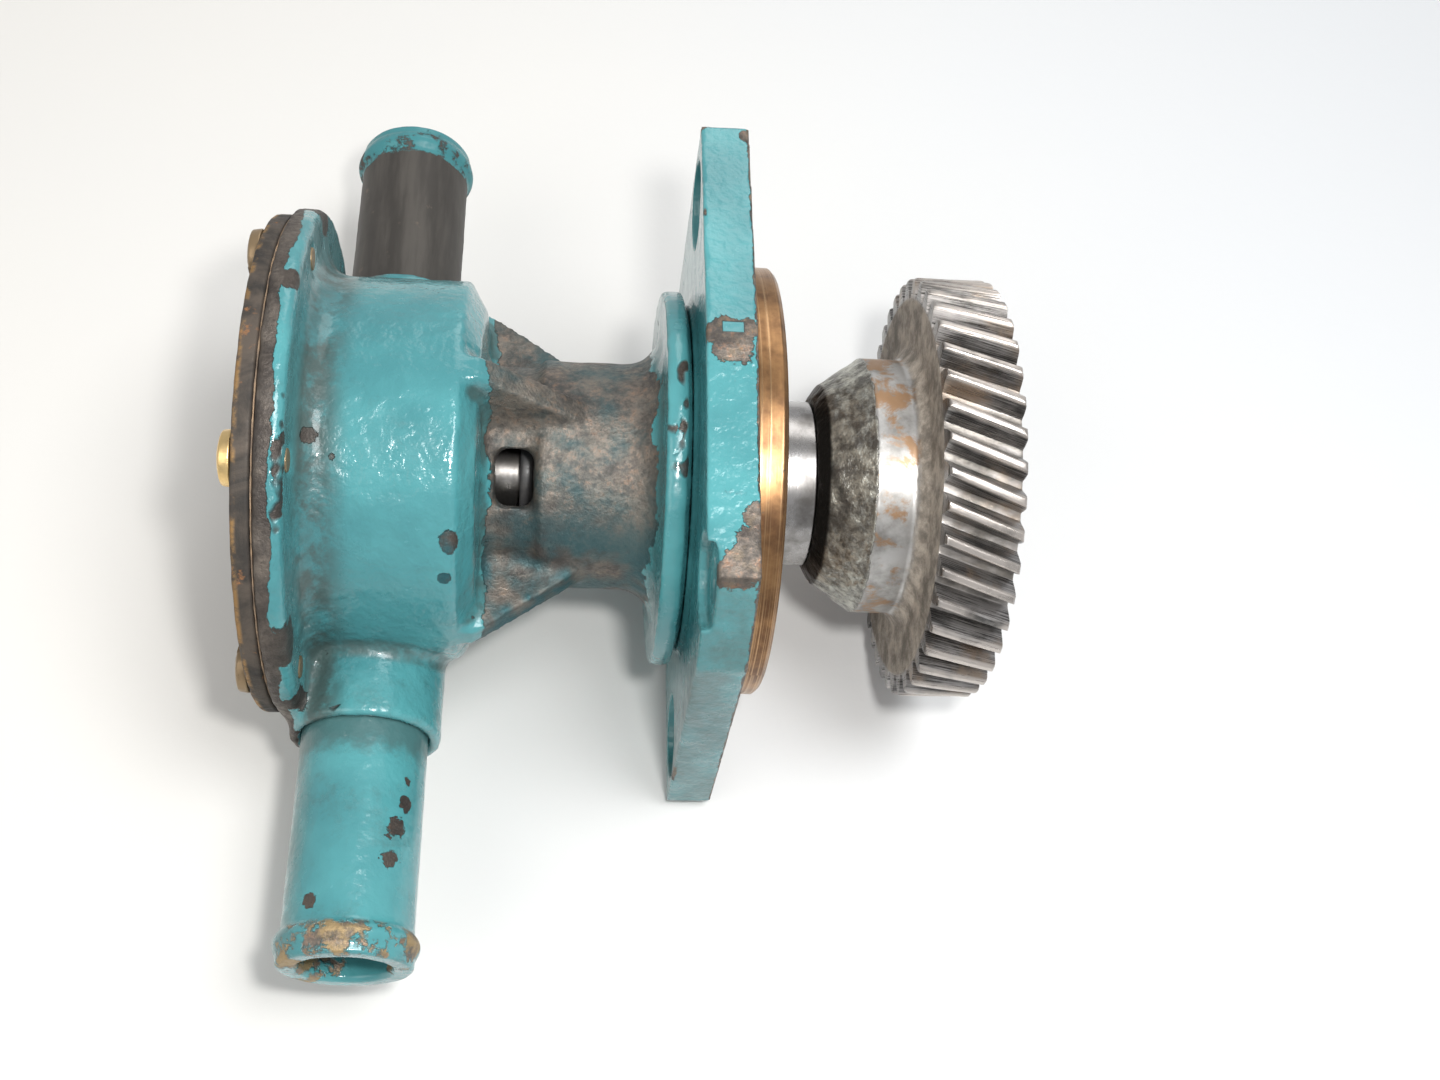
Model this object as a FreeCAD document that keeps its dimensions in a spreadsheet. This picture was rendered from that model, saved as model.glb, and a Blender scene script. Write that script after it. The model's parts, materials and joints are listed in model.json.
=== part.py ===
import FreeCAD, Part
import Sketcher
import math
import os
import re

# Flexible-impeller water pump, gear driven, millimetres.
# Frame: the X axis is the shaft and points to the drive gear. The origin is on the shaft axis, in the
# flange's mounting face. Y runs along the two hose tubes. Z is up as the pump lies on its side.

V = FreeCAD.Vector
X_AXIS = V(1, 0, 0)
ORIGIN = V(0, 0, 0)
TO_X = FreeCAD.Rotation(V(0, 0, 1), X_AXIS)

doc = FreeCAD.newDocument("water_pump")
dims = doc.addObject("Spreadsheet::Sheet", "dims")
nodes = []

DRIVING_SIZES = [
    # mounting flange, ring behind it and spigot
    ("flange_thick", 10.8), ("flange_half_y", 60.0), ("flange_half_z", 54.3), ("flange_crown_z", 57.3),
    ("flange_cut_y", 51.6), ("flange_cut_z", 49.7), ("flange_end_z", 24.3), ("bolt_y", 48.0),
    ("bolt_z", 41.0), ("bolt_hole_rad", 4.5), ("spotface_rad", 10.0), ("spotface_deep", 2.2),
    ("ring_start", 17.7), ("ring_end", 12.9), ("ring_rad", 43.6), ("neck_ring_rad", 40.5),
    ("spigot_rad", 49.9), ("spigot_end", 7.2), ("spigot_chamfer", 1.0),
    # bearing housing neck, weep section and barrel
    ("neck_rad", 26.4), ("neck_start", 44.1), ("weep_rad", 24.5), ("weep_end", 44.9),
    ("weep_start", 56.6), ("back_rad", 37.0), ("back_start", 57.2), ("barrel_rad", 43.6),
    ("barrel_end", 61.0), ("rim_rad", 58.0), ("rim_back", 93.5), ("rim_face", 99.5), ("rim_cove", 5.0),
    ("rim_round", 2.2), ("neck_cove", 7.5), ("edge_round", 0.8), ("rib_thick", 6.0), ("rib_end", 34.0),
    ("rib_root_rad", 20.0), ("rib_count", 4), ("window_left", 53.8), ("window_right", 45.4),
    ("window_half", 6.4), ("window_turn", 34.0), ("window_cut_long", 53.0),
    # chamber, ports and tubes
    ("chamber_rad", 32.5), ("chamber_back", 65.0), ("wear_plate_thick", 1.5),
    ("wear_plate_hole_rad", 11.0), ("port_back", 81.0), ("port_drop", 20.0), ("boss_rad", 16.8),
    ("boss_end", 59.5), ("tube_rad", 14.0), ("tube_bore_rad", 9.5), ("tube_start", 38.0),
    ("tube_end", 110.5), ("bead_rad", 15.5), ("bead_start", 103.0), ("bead_mid", 105.6),
    ("bead_flat_end", 107.2), ("bead_stop", 108.6), ("lip_rad", 14.4), ("lip_end_rad", 14.0),
    ("mouth_rad", 10.1), ("mouth_deep", 1.0),
    # end cover, gasket and screws
    ("cover_rad", 56.5), ("cover_thick", 4.0), ("gasket_thick", 0.5), ("gasket_hole_rad", 44.5),
    ("screw_circle_rad", 50.5), ("screw_count", 6), ("screw_rad", 2.5), ("screw_hole_rad", 3.2),
    ("through_cut_long", 240.0), ("screw_head_rad", 5.9), ("screw_head_high", 3.0),
    ("screw_crown_high", 1.8), ("screw_slot_wide", 1.5), ("screw_slot_deep", 1.3),
    ("screw_first_turn", 25.0), ("screw_turn_step", 47.0),
    # cam and its screw
    ("cam_flat", 27.0), ("cam_front", 99.2), ("cam_hole_long", 30.0), ("cam_boss_rad", 7.0),
    ("cam_boss_end", 46.0), ("cam_screw_tip", 28.5), ("cam_washer_thick", 1.0), ("cam_head_high", 4.0),
    ("cam_head_rad", 5.0), ("cam_washer_rad", 6.0),
    # seals
    ("seal_shaft_rad", 10.0), ("seal_rad", 17.5), ("seal_wide", 7.0), ("seal_gap", 0.05),
    ("seal_wall", 0.9), ("seal_mouth_rad", 12.0), ("spring_circle_rad", 13.0),
    ("spring_wire_rad", 0.55), ("spring_from_wall", 3.7), ("water_seal_at", 64.5),
    ("oil_seal_at", 44.5), ("weep_bore_rad", 14.5), ("weep_bore_start", 57.0), ("weep_bore_end", 45.0),
    ("slinger_rad", 13.2), ("slinger_at", 48.6), ("slinger_wide", 3.0),
    # bearings
    ("inner_bearing_at", 37.0), ("inner_bearing_wide", 12.0), ("inner_bearing_rad", 21.0),
    ("inner_bearing_bore_rad", 10.0), ("inner_ball_rad", 3.1), ("inner_pitch_rad", 15.5),
    ("inner_ball_count", 9), ("outer_bearing_at", 17.0), ("outer_bearing_wide", 16.0),
    ("outer_bearing_rad", 31.0), ("outer_bearing_bore_rad", 15.0), ("outer_ball_rad", 4.7),
    ("outer_pitch_rad", 23.0), ("outer_ball_count", 9), ("ball_gap", 0.1), ("race_lip", 0.45),
    ("cage_overhang", 1.1), ("cage_share", 0.26), ("circlip_groove_wide", 1.7),
    ("circlip_groove_rad", 33.0), ("circlip_thick", 1.6), ("circlip_rad", 32.8),
    ("circlip_bore_rad", 28.5), ("circlip_open", 9.0), ("ear_rad", 3.0), ("ear_hole_rad", 1.2),
    ("ear_out", 10.2), ("ear_circle_rad", 27.0),
    # shaft, impeller and gear
    ("impeller_shaft_rad", 8.0), ("shaft_start", 98.5), ("shaft_step", 66.0), ("shoulder_rad", 17.0),
    ("gear_shaft_rad", 14.0), ("thread_rad", 10.0), ("thread_start", 46.0), ("shaft_end", 60.0),
    ("shaft_chamfer", 0.8), ("collar_rad", 19.3), ("collar_end", 18.0), ("impeller_front", 99.0),
    ("impeller_back", 67.0), ("rubber_hub_rad", 17.0), ("insert_front", 98.2), ("insert_rad", 12.0),
    ("insert_slot_low", 0.0), ("vane_count", 10), ("vane_tip_rad", 32.1), ("vane_thick", 2.4),
    ("vane_bulb_rad", 2.0), ("vane_root_rad", 16.0), ("vane_lag", 14.0), ("vane_lag_per_mm", 2.4),
    ("wiped_rad", 26.6), ("impeller_key_start", 90.0), ("impeller_key_end", 72.0),
    ("impeller_key_half", 2.0), ("impeller_key_low", 6.0), ("impeller_key_high", 10.0),
    ("gear_key_start", 21.0), ("gear_key_end", 43.0), ("gear_key_half", 4.0), ("gear_key_low", 10.0),
    ("gear_key_high", 17.0), ("tooth_count", 42), ("normal_module", 2.117), ("dedendum_share", 1.25),
    ("helix_angle", 20.0), ("pressure_angle", 20.0), ("gear_left", 41.0), ("gear_right", 58.0),
    ("tooth_gap", 0.1), ("hub_nose_rad", 20.5), ("hub_mouth_at", 20.2), ("hub_mouth_rad", 23.6),
    ("hub_cone_end", 29.5), ("hub_rad", 30.1), ("hub_end", 38.7), ("web_rad", 33.5),
    ("web_inside_rad", 38.5), ("web_right", 46.0), ("rim_inside_rad", 38.5), ("web_right_rad", 36.5),
    ("washer_rad", 19.0), ("washer_thick", 2.5), ("nut_flats", 30.0), ("nut_high", 10.0),
]

ALIASES = {alias for alias, _ in DRIVING_SIZES}
VANE_STEPS = 6
FLANK_STEPS = 4


def fill_sheet():
    for row, (alias, value) in enumerate(DRIVING_SIZES, start=1):
        dims.set("A%d" % row, alias)
        dims.set("B%d" % row, str(value))
        dims.setAlias("B%d" % row, alias)
    doc.recompute()


def full(expression):
    """Write short names in an expression as cells of the sheet."""
    return re.sub("[a-z_]+", lambda word: "dims." + word[0] if word[0] in ALIASES else word[0], expression)


def size(expression):
    return float(dims.evalExpression(full(expression)))


def place_x(x, turn=0.0):
    """Placement that stands a primitive's Z axis along +X, starting at x."""
    spin = FreeCAD.Rotation(X_AXIS, turn)
    return FreeCAD.Placement(V(x, 0, 0), spin.multiply(TO_X))


def node(thing, label):
    thing.Label = label
    nodes.append(thing)
    return thing


# ---------------------------------------------------------------- sketch and body helpers


def origin_plane(body, role):
    return [item for item in body.Origin.OriginFeatures if item.Role == role][0]


def add_sketch(body, name, role, offset=None):
    sketch = body.newObject("Sketcher::SketchObject", name)
    sketch.AttachmentSupport = [(origin_plane(body, role), "")]
    sketch.MapMode = "FlatFace"
    if offset:
        sketch.AttachmentOffset = offset
    return sketch


def fix_point(sketch, geometry, position, across, up):
    """Hold one sketch point at two expressions, measured from the sketch's origin."""
    for kind, expression, axis in (("DistanceX", across, -2), ("DistanceY", up, -1)):
        if expression == "0":
            sketch.addConstraint(Sketcher.Constraint("PointOnObject", geometry, position, axis))
            continue
        index = sketch.addConstraint(
            Sketcher.Constraint(kind, -1, 1, geometry, position, size(expression)))
        sketch.setExpression("Constraints[%d]" % index, full(expression))


def draw_outline(sketch, points):
    """A closed outline of straight edges through points given as pairs of expressions."""
    spots = [V(size(across), size(up), 0) for across, up in points]
    first = sketch.GeometryCount
    count = len(spots)
    for i, spot in enumerate(spots):
        sketch.addGeometry(Part.LineSegment(spot, spots[(i + 1) % count]))
    for i in range(count):
        sketch.addConstraint(
            Sketcher.Constraint("Coincident", first + i, 2, first + (i + 1) % count, 1))
    for i, (across, up) in enumerate(points):
        fix_point(sketch, first + i, 1, across, up)


def draw_circle(sketch, across, up, radius):
    circle = Part.Circle(V(size(across), size(up), 0), V(0, 0, 1), size(radius))
    index = sketch.addGeometry(circle)
    fix_point(sketch, index, 3, across, up)
    bound = sketch.addConstraint(Sketcher.Constraint("Radius", index, size(radius)))
    sketch.setExpression("Constraints[%d]" % bound, full(radius))


def new_body(label):
    return node(doc.addObject("PartDesign::Body", label), label)


def revolve(body, name, points, kind="PartDesign::Revolution", axis="H_Axis"):
    sketch = add_sketch(body, name + "_profile", "XY_Plane")
    draw_outline(sketch, points)
    turned = body.newObject(kind, name)
    turned.Profile = sketch
    turned.ReferenceAxis = (sketch, [axis])
    turned.Angle = 360.0
    doc.recompute()
    return turned


def turned_part(label, points):
    """A body of revolution about the shaft."""
    body = new_body(label)
    revolve(body, label + "_turned", points)
    return body


def tube_ring(label, left, right, inside, outside):
    return turned_part(label, [(left, inside), (right, inside), (right, outside), (left, outside)])


def extrude(body, name, sketch, kind, length, reverse=False, both_ways=False):
    feature = body.newObject(kind, name)
    feature.Profile = sketch
    feature.setExpression("Length", full(length))
    feature.Reversed = reverse
    feature.Midplane = both_ways
    doc.recompute()
    return feature


def polar(body, name, feature, sketch, axis, count):
    pattern = body.newObject("PartDesign::PolarPattern", name)
    pattern.Originals = [feature]
    pattern.Axis = (sketch, [axis])
    pattern.Angle = 360.0
    pattern.setExpression("Occurrences", full(count))
    body.Tip = pattern
    doc.recompute()
    return pattern


def round_circles(body, name, circles, radius):
    """Fillet the body's circular edges at the given (x, radius) pairs of expressions."""
    tip = body.Tip
    wanted = [(size(x), size(rad)) for x, rad in circles]
    names = []
    for i, edge in enumerate(tip.Shape.Edges, start=1):
        if not isinstance(edge.Curve, Part.Circle):
            continue
        at = (edge.Curve.Center.x, edge.Curve.Radius)
        if any(math.dist(at, spot) < 0.01 for spot in wanted):
            names.append("Edge%d" % i)
    fillet = body.newObject("PartDesign::Fillet", name)
    fillet.Base = (tip, names)
    fillet.setExpression("Radius", full(radius))
    body.Tip = fillet
    doc.recompute()
    return fillet


def made_shape(label, shape):
    """A sub-part whose shape comes from Part's own functions."""
    feature = doc.addObject("Part::Feature", label)
    feature.Shape = shape
    return node(feature, label)


# ---------------------------------------------------------------- casting


def pump_housing():
    body = new_body("pump_housing")
    revolve(body, "casting", [
        ("-rim_face", "0"), ("-rim_face", "rim_rad"), ("-rim_back", "rim_rad"),
        ("-rim_back", "barrel_rad"), ("-barrel_end", "barrel_rad"), ("-back_start", "back_rad"),
        ("-weep_start", "weep_rad"), ("-weep_end", "weep_rad"), ("-neck_start", "neck_rad"),
        ("-ring_start", "neck_rad"), ("-ring_start", "ring_rad"), ("-ring_end", "ring_rad"),
        ("-ring_end", "neck_ring_rad"), ("-flange_thick / 2", "neck_ring_rad"),
        ("-flange_thick / 2", "spigot_rad"), ("spigot_end - spigot_chamfer", "spigot_rad"),
        ("spigot_end", "spigot_rad - spigot_chamfer"), ("spigot_end", "0")])
    round_circles(body, "rim_cove_round", [("-rim_back", "barrel_rad")], "rim_cove")
    round_circles(body, "rim_back_round", [("-rim_back", "rim_rad")], "rim_round")
    round_circles(body, "neck_flare", [("-ring_start", "neck_rad")], "neck_cove")
    round_circles(body, "cast_edges", [("-barrel_end", "barrel_rad"), ("-ring_start", "ring_rad"),
                                       ("-ring_end", "ring_rad")], "edge_round")
    flange_plate(body)
    port_bosses(body)
    housing_ribs(body)
    housing_bores(body)
    housing_holes(body)


def flange_plate(body):
    sketch = add_sketch(body, "flange_outline", "YZ_Plane")
    half = [("flange_half_y", "flange_half_z"), ("0", "flange_crown_z"),
            ("-flange_cut_y", "flange_cut_z"), ("-flange_half_y", "flange_end_z")]
    opposite = [("-flange_half_y", "-flange_half_z"), ("0", "-flange_crown_z"),
                ("flange_cut_y", "-flange_cut_z"), ("flange_half_y", "-flange_end_z")]
    draw_outline(sketch, half + opposite)
    extrude(body, "flange_plate", sketch, "PartDesign::Pad", "flange_thick", reverse=True)


def port_bosses(body):
    sketch = add_sketch(body, "boss_circle", "XZ_Plane")
    draw_circle(sketch, "-port_back", "-port_drop", "boss_rad")
    extrude(body, "port_bosses", sketch, "PartDesign::Pad", "2 * boss_end", both_ways=True)
    sketch = add_sketch(body, "cam_boss_circle", "XY_Plane")
    draw_circle(sketch, "-port_back", "0", "cam_boss_rad")
    extrude(body, "cam_boss", sketch, "PartDesign::Pad", "cam_boss_end", reverse=True)


def housing_ribs(body):
    sketch = add_sketch(body, "rib_outline", "XY_Plane")
    draw_outline(sketch, [("-barrel_end", "rib_root_rad"), ("-barrel_end", "barrel_rad - edge_round"),
                          ("-back_start", "barrel_rad - edge_round"), ("-rib_end", "neck_rad"),
                          ("-rib_end", "rib_root_rad")])
    rib = extrude(body, "rib", sketch, "PartDesign::Pad", "rib_thick", both_ways=True)
    polar(body, "ribs", rib, sketch, "H_Axis", "rib_count")


def housing_bores(body):
    before = body.Shape.Volume
    revolve(body, "bores", [
        ("-rim_face", "0"), ("-rim_face", "chamber_rad"), ("-chamber_back", "chamber_rad"),
        ("-chamber_back", "seal_rad"), ("-weep_bore_start", "seal_rad"),
        ("-weep_bore_start", "weep_bore_rad"), ("-weep_bore_end", "weep_bore_rad"),
        ("-weep_bore_end", "seal_rad"), ("-inner_bearing_at", "seal_rad"),
        ("-inner_bearing_at", "inner_bearing_rad"), ("-outer_bearing_at", "inner_bearing_rad"),
        ("-outer_bearing_at", "outer_bearing_rad"),
        ("outer_bearing_wide - outer_bearing_at", "outer_bearing_rad"),
        ("outer_bearing_wide - outer_bearing_at", "circlip_groove_rad"),
        ("outer_bearing_wide - outer_bearing_at + circlip_groove_wide", "circlip_groove_rad"),
        ("outer_bearing_wide - outer_bearing_at + circlip_groove_wide", "outer_bearing_rad"),
        ("spigot_end", "outer_bearing_rad"), ("spigot_end", "0")], kind="PartDesign::Groove")
    assert body.Shape.Volume < before


def housing_holes(body):
    sockets = add_sketch(body, "port_bore_circle", "XZ_Plane")
    draw_circle(sockets, "-port_back", "-port_drop", "tube_bore_rad")
    cut(body, "port_bores", sockets, "2 * boss_end", both_ways=True)
    for name, side in (("inlet_socket", -1), ("outlet_socket", 1)):
        # the sketch plane's normal is -Y, so the offset along it is taken with the opposite sign
        away = FreeCAD.Placement(V(0, 0, -side * size("tube_start")), FreeCAD.Rotation())
        sketch = add_sketch(body, name + "_circle", "XZ_Plane", away)
        sketch.setExpression("AttachmentOffset.Base.z", full("%d * tube_start" % -side))
        draw_circle(sketch, "-port_back", "-port_drop", "tube_rad")
        cut(body, name, sketch, "boss_end", reverse=side < 0)
    sketch = add_sketch(body, "cam_hole_circle", "XY_Plane")
    draw_circle(sketch, "-port_back", "0", "screw_hole_rad")
    cut(body, "cam_hole", sketch, "cam_boss_end", reverse=False)
    turn = FreeCAD.Placement(ORIGIN, FreeCAD.Rotation(X_AXIS, size("window_turn")))
    sketch = add_sketch(body, "window_outline", "XY_Plane", turn)
    sketch.setExpression("AttachmentOffset.Rotation.Angle", full("window_turn"))
    draw_outline(sketch, [("-window_left", "-window_half"), ("-window_right", "-window_half"),
                          ("-window_right", "window_half"), ("-window_left", "window_half")])
    cut(body, "weep_windows", sketch, "window_cut_long", both_ways=True)
    sketch = add_sketch(body, "bolt_circles", "YZ_Plane")
    for along, up in (("bolt_y", "bolt_z"), ("-bolt_y", "bolt_z"),
                      ("bolt_y", "-bolt_z"), ("-bolt_y", "-bolt_z")):
        draw_circle(sketch, along, up, "bolt_hole_rad")
    cut(body, "bolt_holes", sketch, "2 * flange_thick", both_ways=True)
    back = FreeCAD.Placement(V(0, 0, -size("flange_thick - spotface_deep")), FreeCAD.Rotation())
    sketch = add_sketch(body, "spotface_circles", "YZ_Plane", back)
    sketch.setExpression("AttachmentOffset.Base.z", full("spotface_deep - flange_thick"))
    for along, up in (("bolt_y", "bolt_z"), ("-bolt_y", "bolt_z"),
                      ("bolt_y", "-bolt_z"), ("-bolt_y", "-bolt_z")):
        draw_circle(sketch, along, up, "spotface_rad")
    cut(body, "spotfaces", sketch, "2 * spotface_deep", reverse=False)
    sketch = add_sketch(body, "screw_hole_circle", "YZ_Plane")
    draw_circle(sketch, "screw_circle_rad", "0", "screw_rad")
    sketch.AttachmentOffset = FreeCAD.Placement(V(0, 0, -size("rim_back")), FreeCAD.Rotation())
    sketch.setExpression("AttachmentOffset.Base.z", full("-rim_back"))
    hole = cut(body, "screw_hole", sketch, "rim_face", reverse=False)
    polar(body, "screw_holes", hole, sketch, "N_Axis", "screw_count")


def cut(body, name, sketch, length, reverse=False, both_ways=False):
    """A pocket that must take material away."""
    before = body.Shape.Volume
    pocket = extrude(body, name, sketch, "PartDesign::Pocket", length, reverse, both_ways)
    assert body.Shape.Volume < before, name + " cuts nothing"
    return pocket


# ---------------------------------------------------------------- cover, tubes, cam


def drilled_disc(label, left, right, inside, outside, hole_radius, edge=None):
    body = new_body(label)
    inner = "0" if inside is None else inside
    revolve(body, label + "_disc", [(left, inner), (right, inner), (right, outside), (left, outside)])
    if edge:
        round_circles(body, label + "_edge", [(left, outside)], edge)
    sketch = add_sketch(body, label + "_hole_circle", "YZ_Plane")
    draw_circle(sketch, "screw_circle_rad", "0", hole_radius)
    hole = cut(body, label + "_hole", sketch, "through_cut_long", both_ways=True)
    polar(body, label + "_holes", hole, sketch, "N_Axis", "screw_count")
    return body


def cover_screws():
    """Six slotted round-head screws, as one group of separate solids."""
    face = -size("rim_face + gasket_thick + cover_thick")
    head = size("screw_head_high")
    head_rad = size("screw_head_rad")
    rise = size("screw_crown_high")
    crown = (head_rad ** 2 + rise ** 2) / (2 * rise)
    bead = Part.makeCylinder(head_rad, head, V(face - head, 0, 0), X_AXIS)
    ball = Part.makeSphere(crown, V(face - head + crown, 0, 0))
    dome = bead.common(ball)
    slot = Part.makeBox(size("screw_slot_deep"), size("screw_slot_wide"), 2 * head_rad,
                        V(face - head, -size("screw_slot_wide") / 2, -head_rad))
    shank = Part.makeCylinder(size("screw_rad"), size("rim_face + gasket_thick + cover_thick - rim_back"),
                              V(face, 0, 0), X_AXIS)
    screw = dome.cut(slot).fuse(shank).removeSplitter()
    group = []
    count = int(size("screw_count"))
    for i in range(count):
        one = screw.copy()
        one.rotate(ORIGIN, X_AXIS, size("screw_first_turn") + size("screw_turn_step") * i)
        one.translate(V(0, size("screw_circle_rad"), 0))
        one.rotate(ORIGIN, X_AXIS, 360.0 * i / count)
        group.append(one)
    made_shape("cover_screws", Part.makeCompound(group))


def hose_tube(label, turn):
    """A beaded hose tube, turned about its own Y axis and stood in its port."""
    body = new_body(label)
    revolve(body, label + "_turned", [
        ("tube_bore_rad", "-tube_start"), ("tube_rad", "-tube_start"), ("tube_rad", "-bead_start"),
        ("bead_rad", "-bead_mid"), ("bead_rad", "-bead_flat_end"), ("lip_rad", "-bead_stop"),
        ("lip_end_rad", "-tube_end"), ("mouth_rad", "-tube_end"),
        ("tube_bore_rad", "-tube_end + mouth_deep")], axis="V_Axis")
    body.Placement = FreeCAD.Placement(V(-size("port_back"), 0, -size("port_drop")),
                                       FreeCAD.Rotation(V(0, 0, 1), turn))


def cam():
    """The part of the chamber's circle below a flat, with the tapped hole for its screw."""
    front = -size("cam_front")
    long = size("cam_front - chamber_back - wear_plate_thick")
    wall = size("chamber_rad")
    disc = Part.makeCylinder(wall, long, V(front, 0, 0), X_AXIS)
    low = Part.makeBox(long, 2 * wall, wall, V(front, -wall, -size("cam_flat") - wall))
    hole = Part.makeCylinder(size("screw_rad"), size("cam_hole_long"),
                             V(-size("port_back"), 0, -size("cam_screw_tip")), V(0, 0, -1))
    made_shape("cam", disc.common(low).cut(hole))


def cam_fasteners():
    at = -size("port_back")
    seat = -size("cam_boss_end")
    thick = size("cam_washer_thick")
    washer = Part.makeCylinder(size("cam_washer_rad"), thick, V(at, 0, seat), V(0, 0, -1))
    hole = Part.makeCylinder(size("screw_hole_rad"), thick, V(at, 0, seat), V(0, 0, -1))
    made_shape("cam_screw_washer", washer.cut(hole))
    tip = -size("cam_screw_tip")
    shank = Part.makeCylinder(size("screw_rad"), tip - seat + thick, V(at, 0, tip), V(0, 0, -1))
    flats = Part.makePolygon([V(at + size("cam_head_rad") * math.cos(math.radians(60 * i)),
                                size("cam_head_rad") * math.sin(math.radians(60 * i)), seat - thick)
                              for i in range(7)])
    head = Part.Face(flats).extrude(V(0, 0, -size("cam_head_high")))
    made_shape("cam_screw", shank.fuse(head).removeSplitter())


# ---------------------------------------------------------------- seals and bearings


# distance from the case's wall towards the open mouth, and radius, round the rubber lip
LIP_OUTLINE = [
    ("0", "seal_rad - seal_wall"), ("0", "seal_mouth_rad"), ("1.2", "seal_shaft_rad + 1"),
    ("3.2", "seal_shaft_rad + seal_gap"), ("4.6", "seal_shaft_rad + 1.2"), ("4.6", "seal_shaft_rad + 1.8"),
    ("2.0", "seal_shaft_rad + 2.6"), ("1.4", "seal_rad - seal_wall"),
]


def lip_seal(prefix, at, facing):
    """A pressed case, a rubber lip and a garter spring. facing is the side of the open mouth."""
    far = "-%s + %s" % (at, "seal_wide" if facing > 0 else "0")
    wall = "-%s + %s" % (at, "seal_wall" if facing > 0 else "seal_wide - seal_wall")
    shut = "-%s + %s" % (at, "0" if facing > 0 else "seal_wide")
    turned_part(prefix + "_case", [
        (shut, "seal_rad"), (far, "seal_rad"), (far, "seal_rad - seal_wall"),
        (wall, "seal_rad - seal_wall"), (wall, "seal_mouth_rad"), (shut, "seal_mouth_rad")])
    toward = " + " if facing > 0 else " - "
    turned_part(prefix + "_lip", [(wall + toward + away, radius) for away, radius in LIP_OUTLINE])
    ring = doc.addObject("Part::Torus", prefix + "_spring")
    ring.setExpression("Radius1", full("spring_circle_rad"))
    ring.setExpression("Radius2", full("spring_wire_rad"))
    ring.Placement = place_x(size(wall + toward + "spring_from_wall"))
    node(ring, prefix + "_spring")


def race(label, left, wide, inside, outside, pitch, groove):
    """A bearing ring with its ball groove."""
    outer = doc.addObject("Part::Cylinder", label + "_outside")
    outer.setExpression("Radius", full(outside))
    outer.setExpression("Height", full(wide))
    inner = doc.addObject("Part::Cylinder", label + "_bore")
    inner.setExpression("Radius", full(inside))
    inner.setExpression("Height", full(wide))
    for part in (outer, inner):
        part.Placement = place_x(-size(left))
    blank = doc.addObject("Part::Cut", label + "_blank")
    blank.Base = outer
    blank.Tool = inner
    track = doc.addObject("Part::Torus", label + "_track")
    track.setExpression("Radius1", full(pitch))
    track.setExpression("Radius2", full(groove))
    track.Placement = place_x(-size(left) + size(wide) / 2)
    ring = doc.addObject("Part::Cut", label)
    ring.Base = blank
    ring.Tool = track
    node(ring, label)


def ball_bearing(prefix):
    """A deep-groove ball bearing: two rings, balls and a cage."""
    at = prefix + "_bearing_at"
    wide = prefix + "_bearing_wide"
    pitch = prefix + "_pitch_rad"
    ball = prefix + "_ball_rad"
    race(prefix + "_bearing_outer_ring", at, wide, "%s + race_lip * %s" % (pitch, ball),
         prefix + "_bearing_rad", pitch, ball + " + ball_gap")
    race(prefix + "_bearing_inner_ring", at, wide, prefix + "_bearing_bore_rad",
         "%s - race_lip * %s" % (pitch, ball), pitch, ball + " + ball_gap")
    middle = -size(at) + size(wide) / 2
    count = int(size(prefix + "_ball_count"))
    reach = size(ball)
    angles = [2 * math.pi * i / count for i in range(count)]
    spots = [V(middle, size(pitch) * math.cos(a), size(pitch) * math.sin(a)) for a in angles]
    made_shape(prefix + "_bearing_balls", Part.makeCompound([Part.makeSphere(reach, s) for s in spots]))
    half = reach + size("cage_overhang")
    thick = size("cage_share") * reach
    start = V(middle - half, 0, 0)
    band = Part.makeCylinder(size(pitch) + thick, 2 * half, start, X_AXIS)
    band = band.cut(Part.makeCylinder(size(pitch) - thick, 2 * half, start, X_AXIS))
    inward = size(pitch) - reach
    pockets = [Part.makeCylinder(reach + size("ball_gap"), 2 * reach, V(middle, 0, 0) + ray * inward, ray)
               for ray in (V(0, math.cos(a), math.sin(a)) for a in angles)]
    made_shape(prefix + "_bearing_cage", band.cut(Part.makeCompound(pockets)))


def bearing_circlip():
    left = size("outer_bearing_wide - outer_bearing_at")
    thick = size("circlip_thick")
    ring = Part.makeCylinder(size("circlip_rad"), thick, V(left, 0, 0), X_AXIS)
    ring = ring.cut(Part.makeCylinder(size("circlip_bore_rad"), thick, V(left, 0, 0), X_AXIS))
    half = size("circlip_open")
    ring = ring.cut(Part.makeBox(thick, 2 * half, size("circlip_rad"), V(left, -half, 0)))
    for side in (-1, 1):
        ear = V(left, side * size("ear_out"), size("ear_circle_rad"))
        ring = ring.fuse(Part.makeCylinder(size("ear_rad"), thick, ear, X_AXIS))
        ring = ring.cut(Part.makeCylinder(size("ear_hole_rad"), thick, ear, X_AXIS))
    made_shape("bearing_circlip", ring.removeSplitter())


# ---------------------------------------------------------------- turning parts


def slot_sketch(body, name, low, left, right, half):
    lift = FreeCAD.Placement(V(0, 0, size(low)), FreeCAD.Rotation())
    sketch = add_sketch(body, name, "XY_Plane", lift)
    sketch.setExpression("AttachmentOffset.Base.z", full(low))
    draw_outline(sketch, [(left, "-" + half), (right, "-" + half), (right, half), (left, half)])
    return sketch


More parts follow.
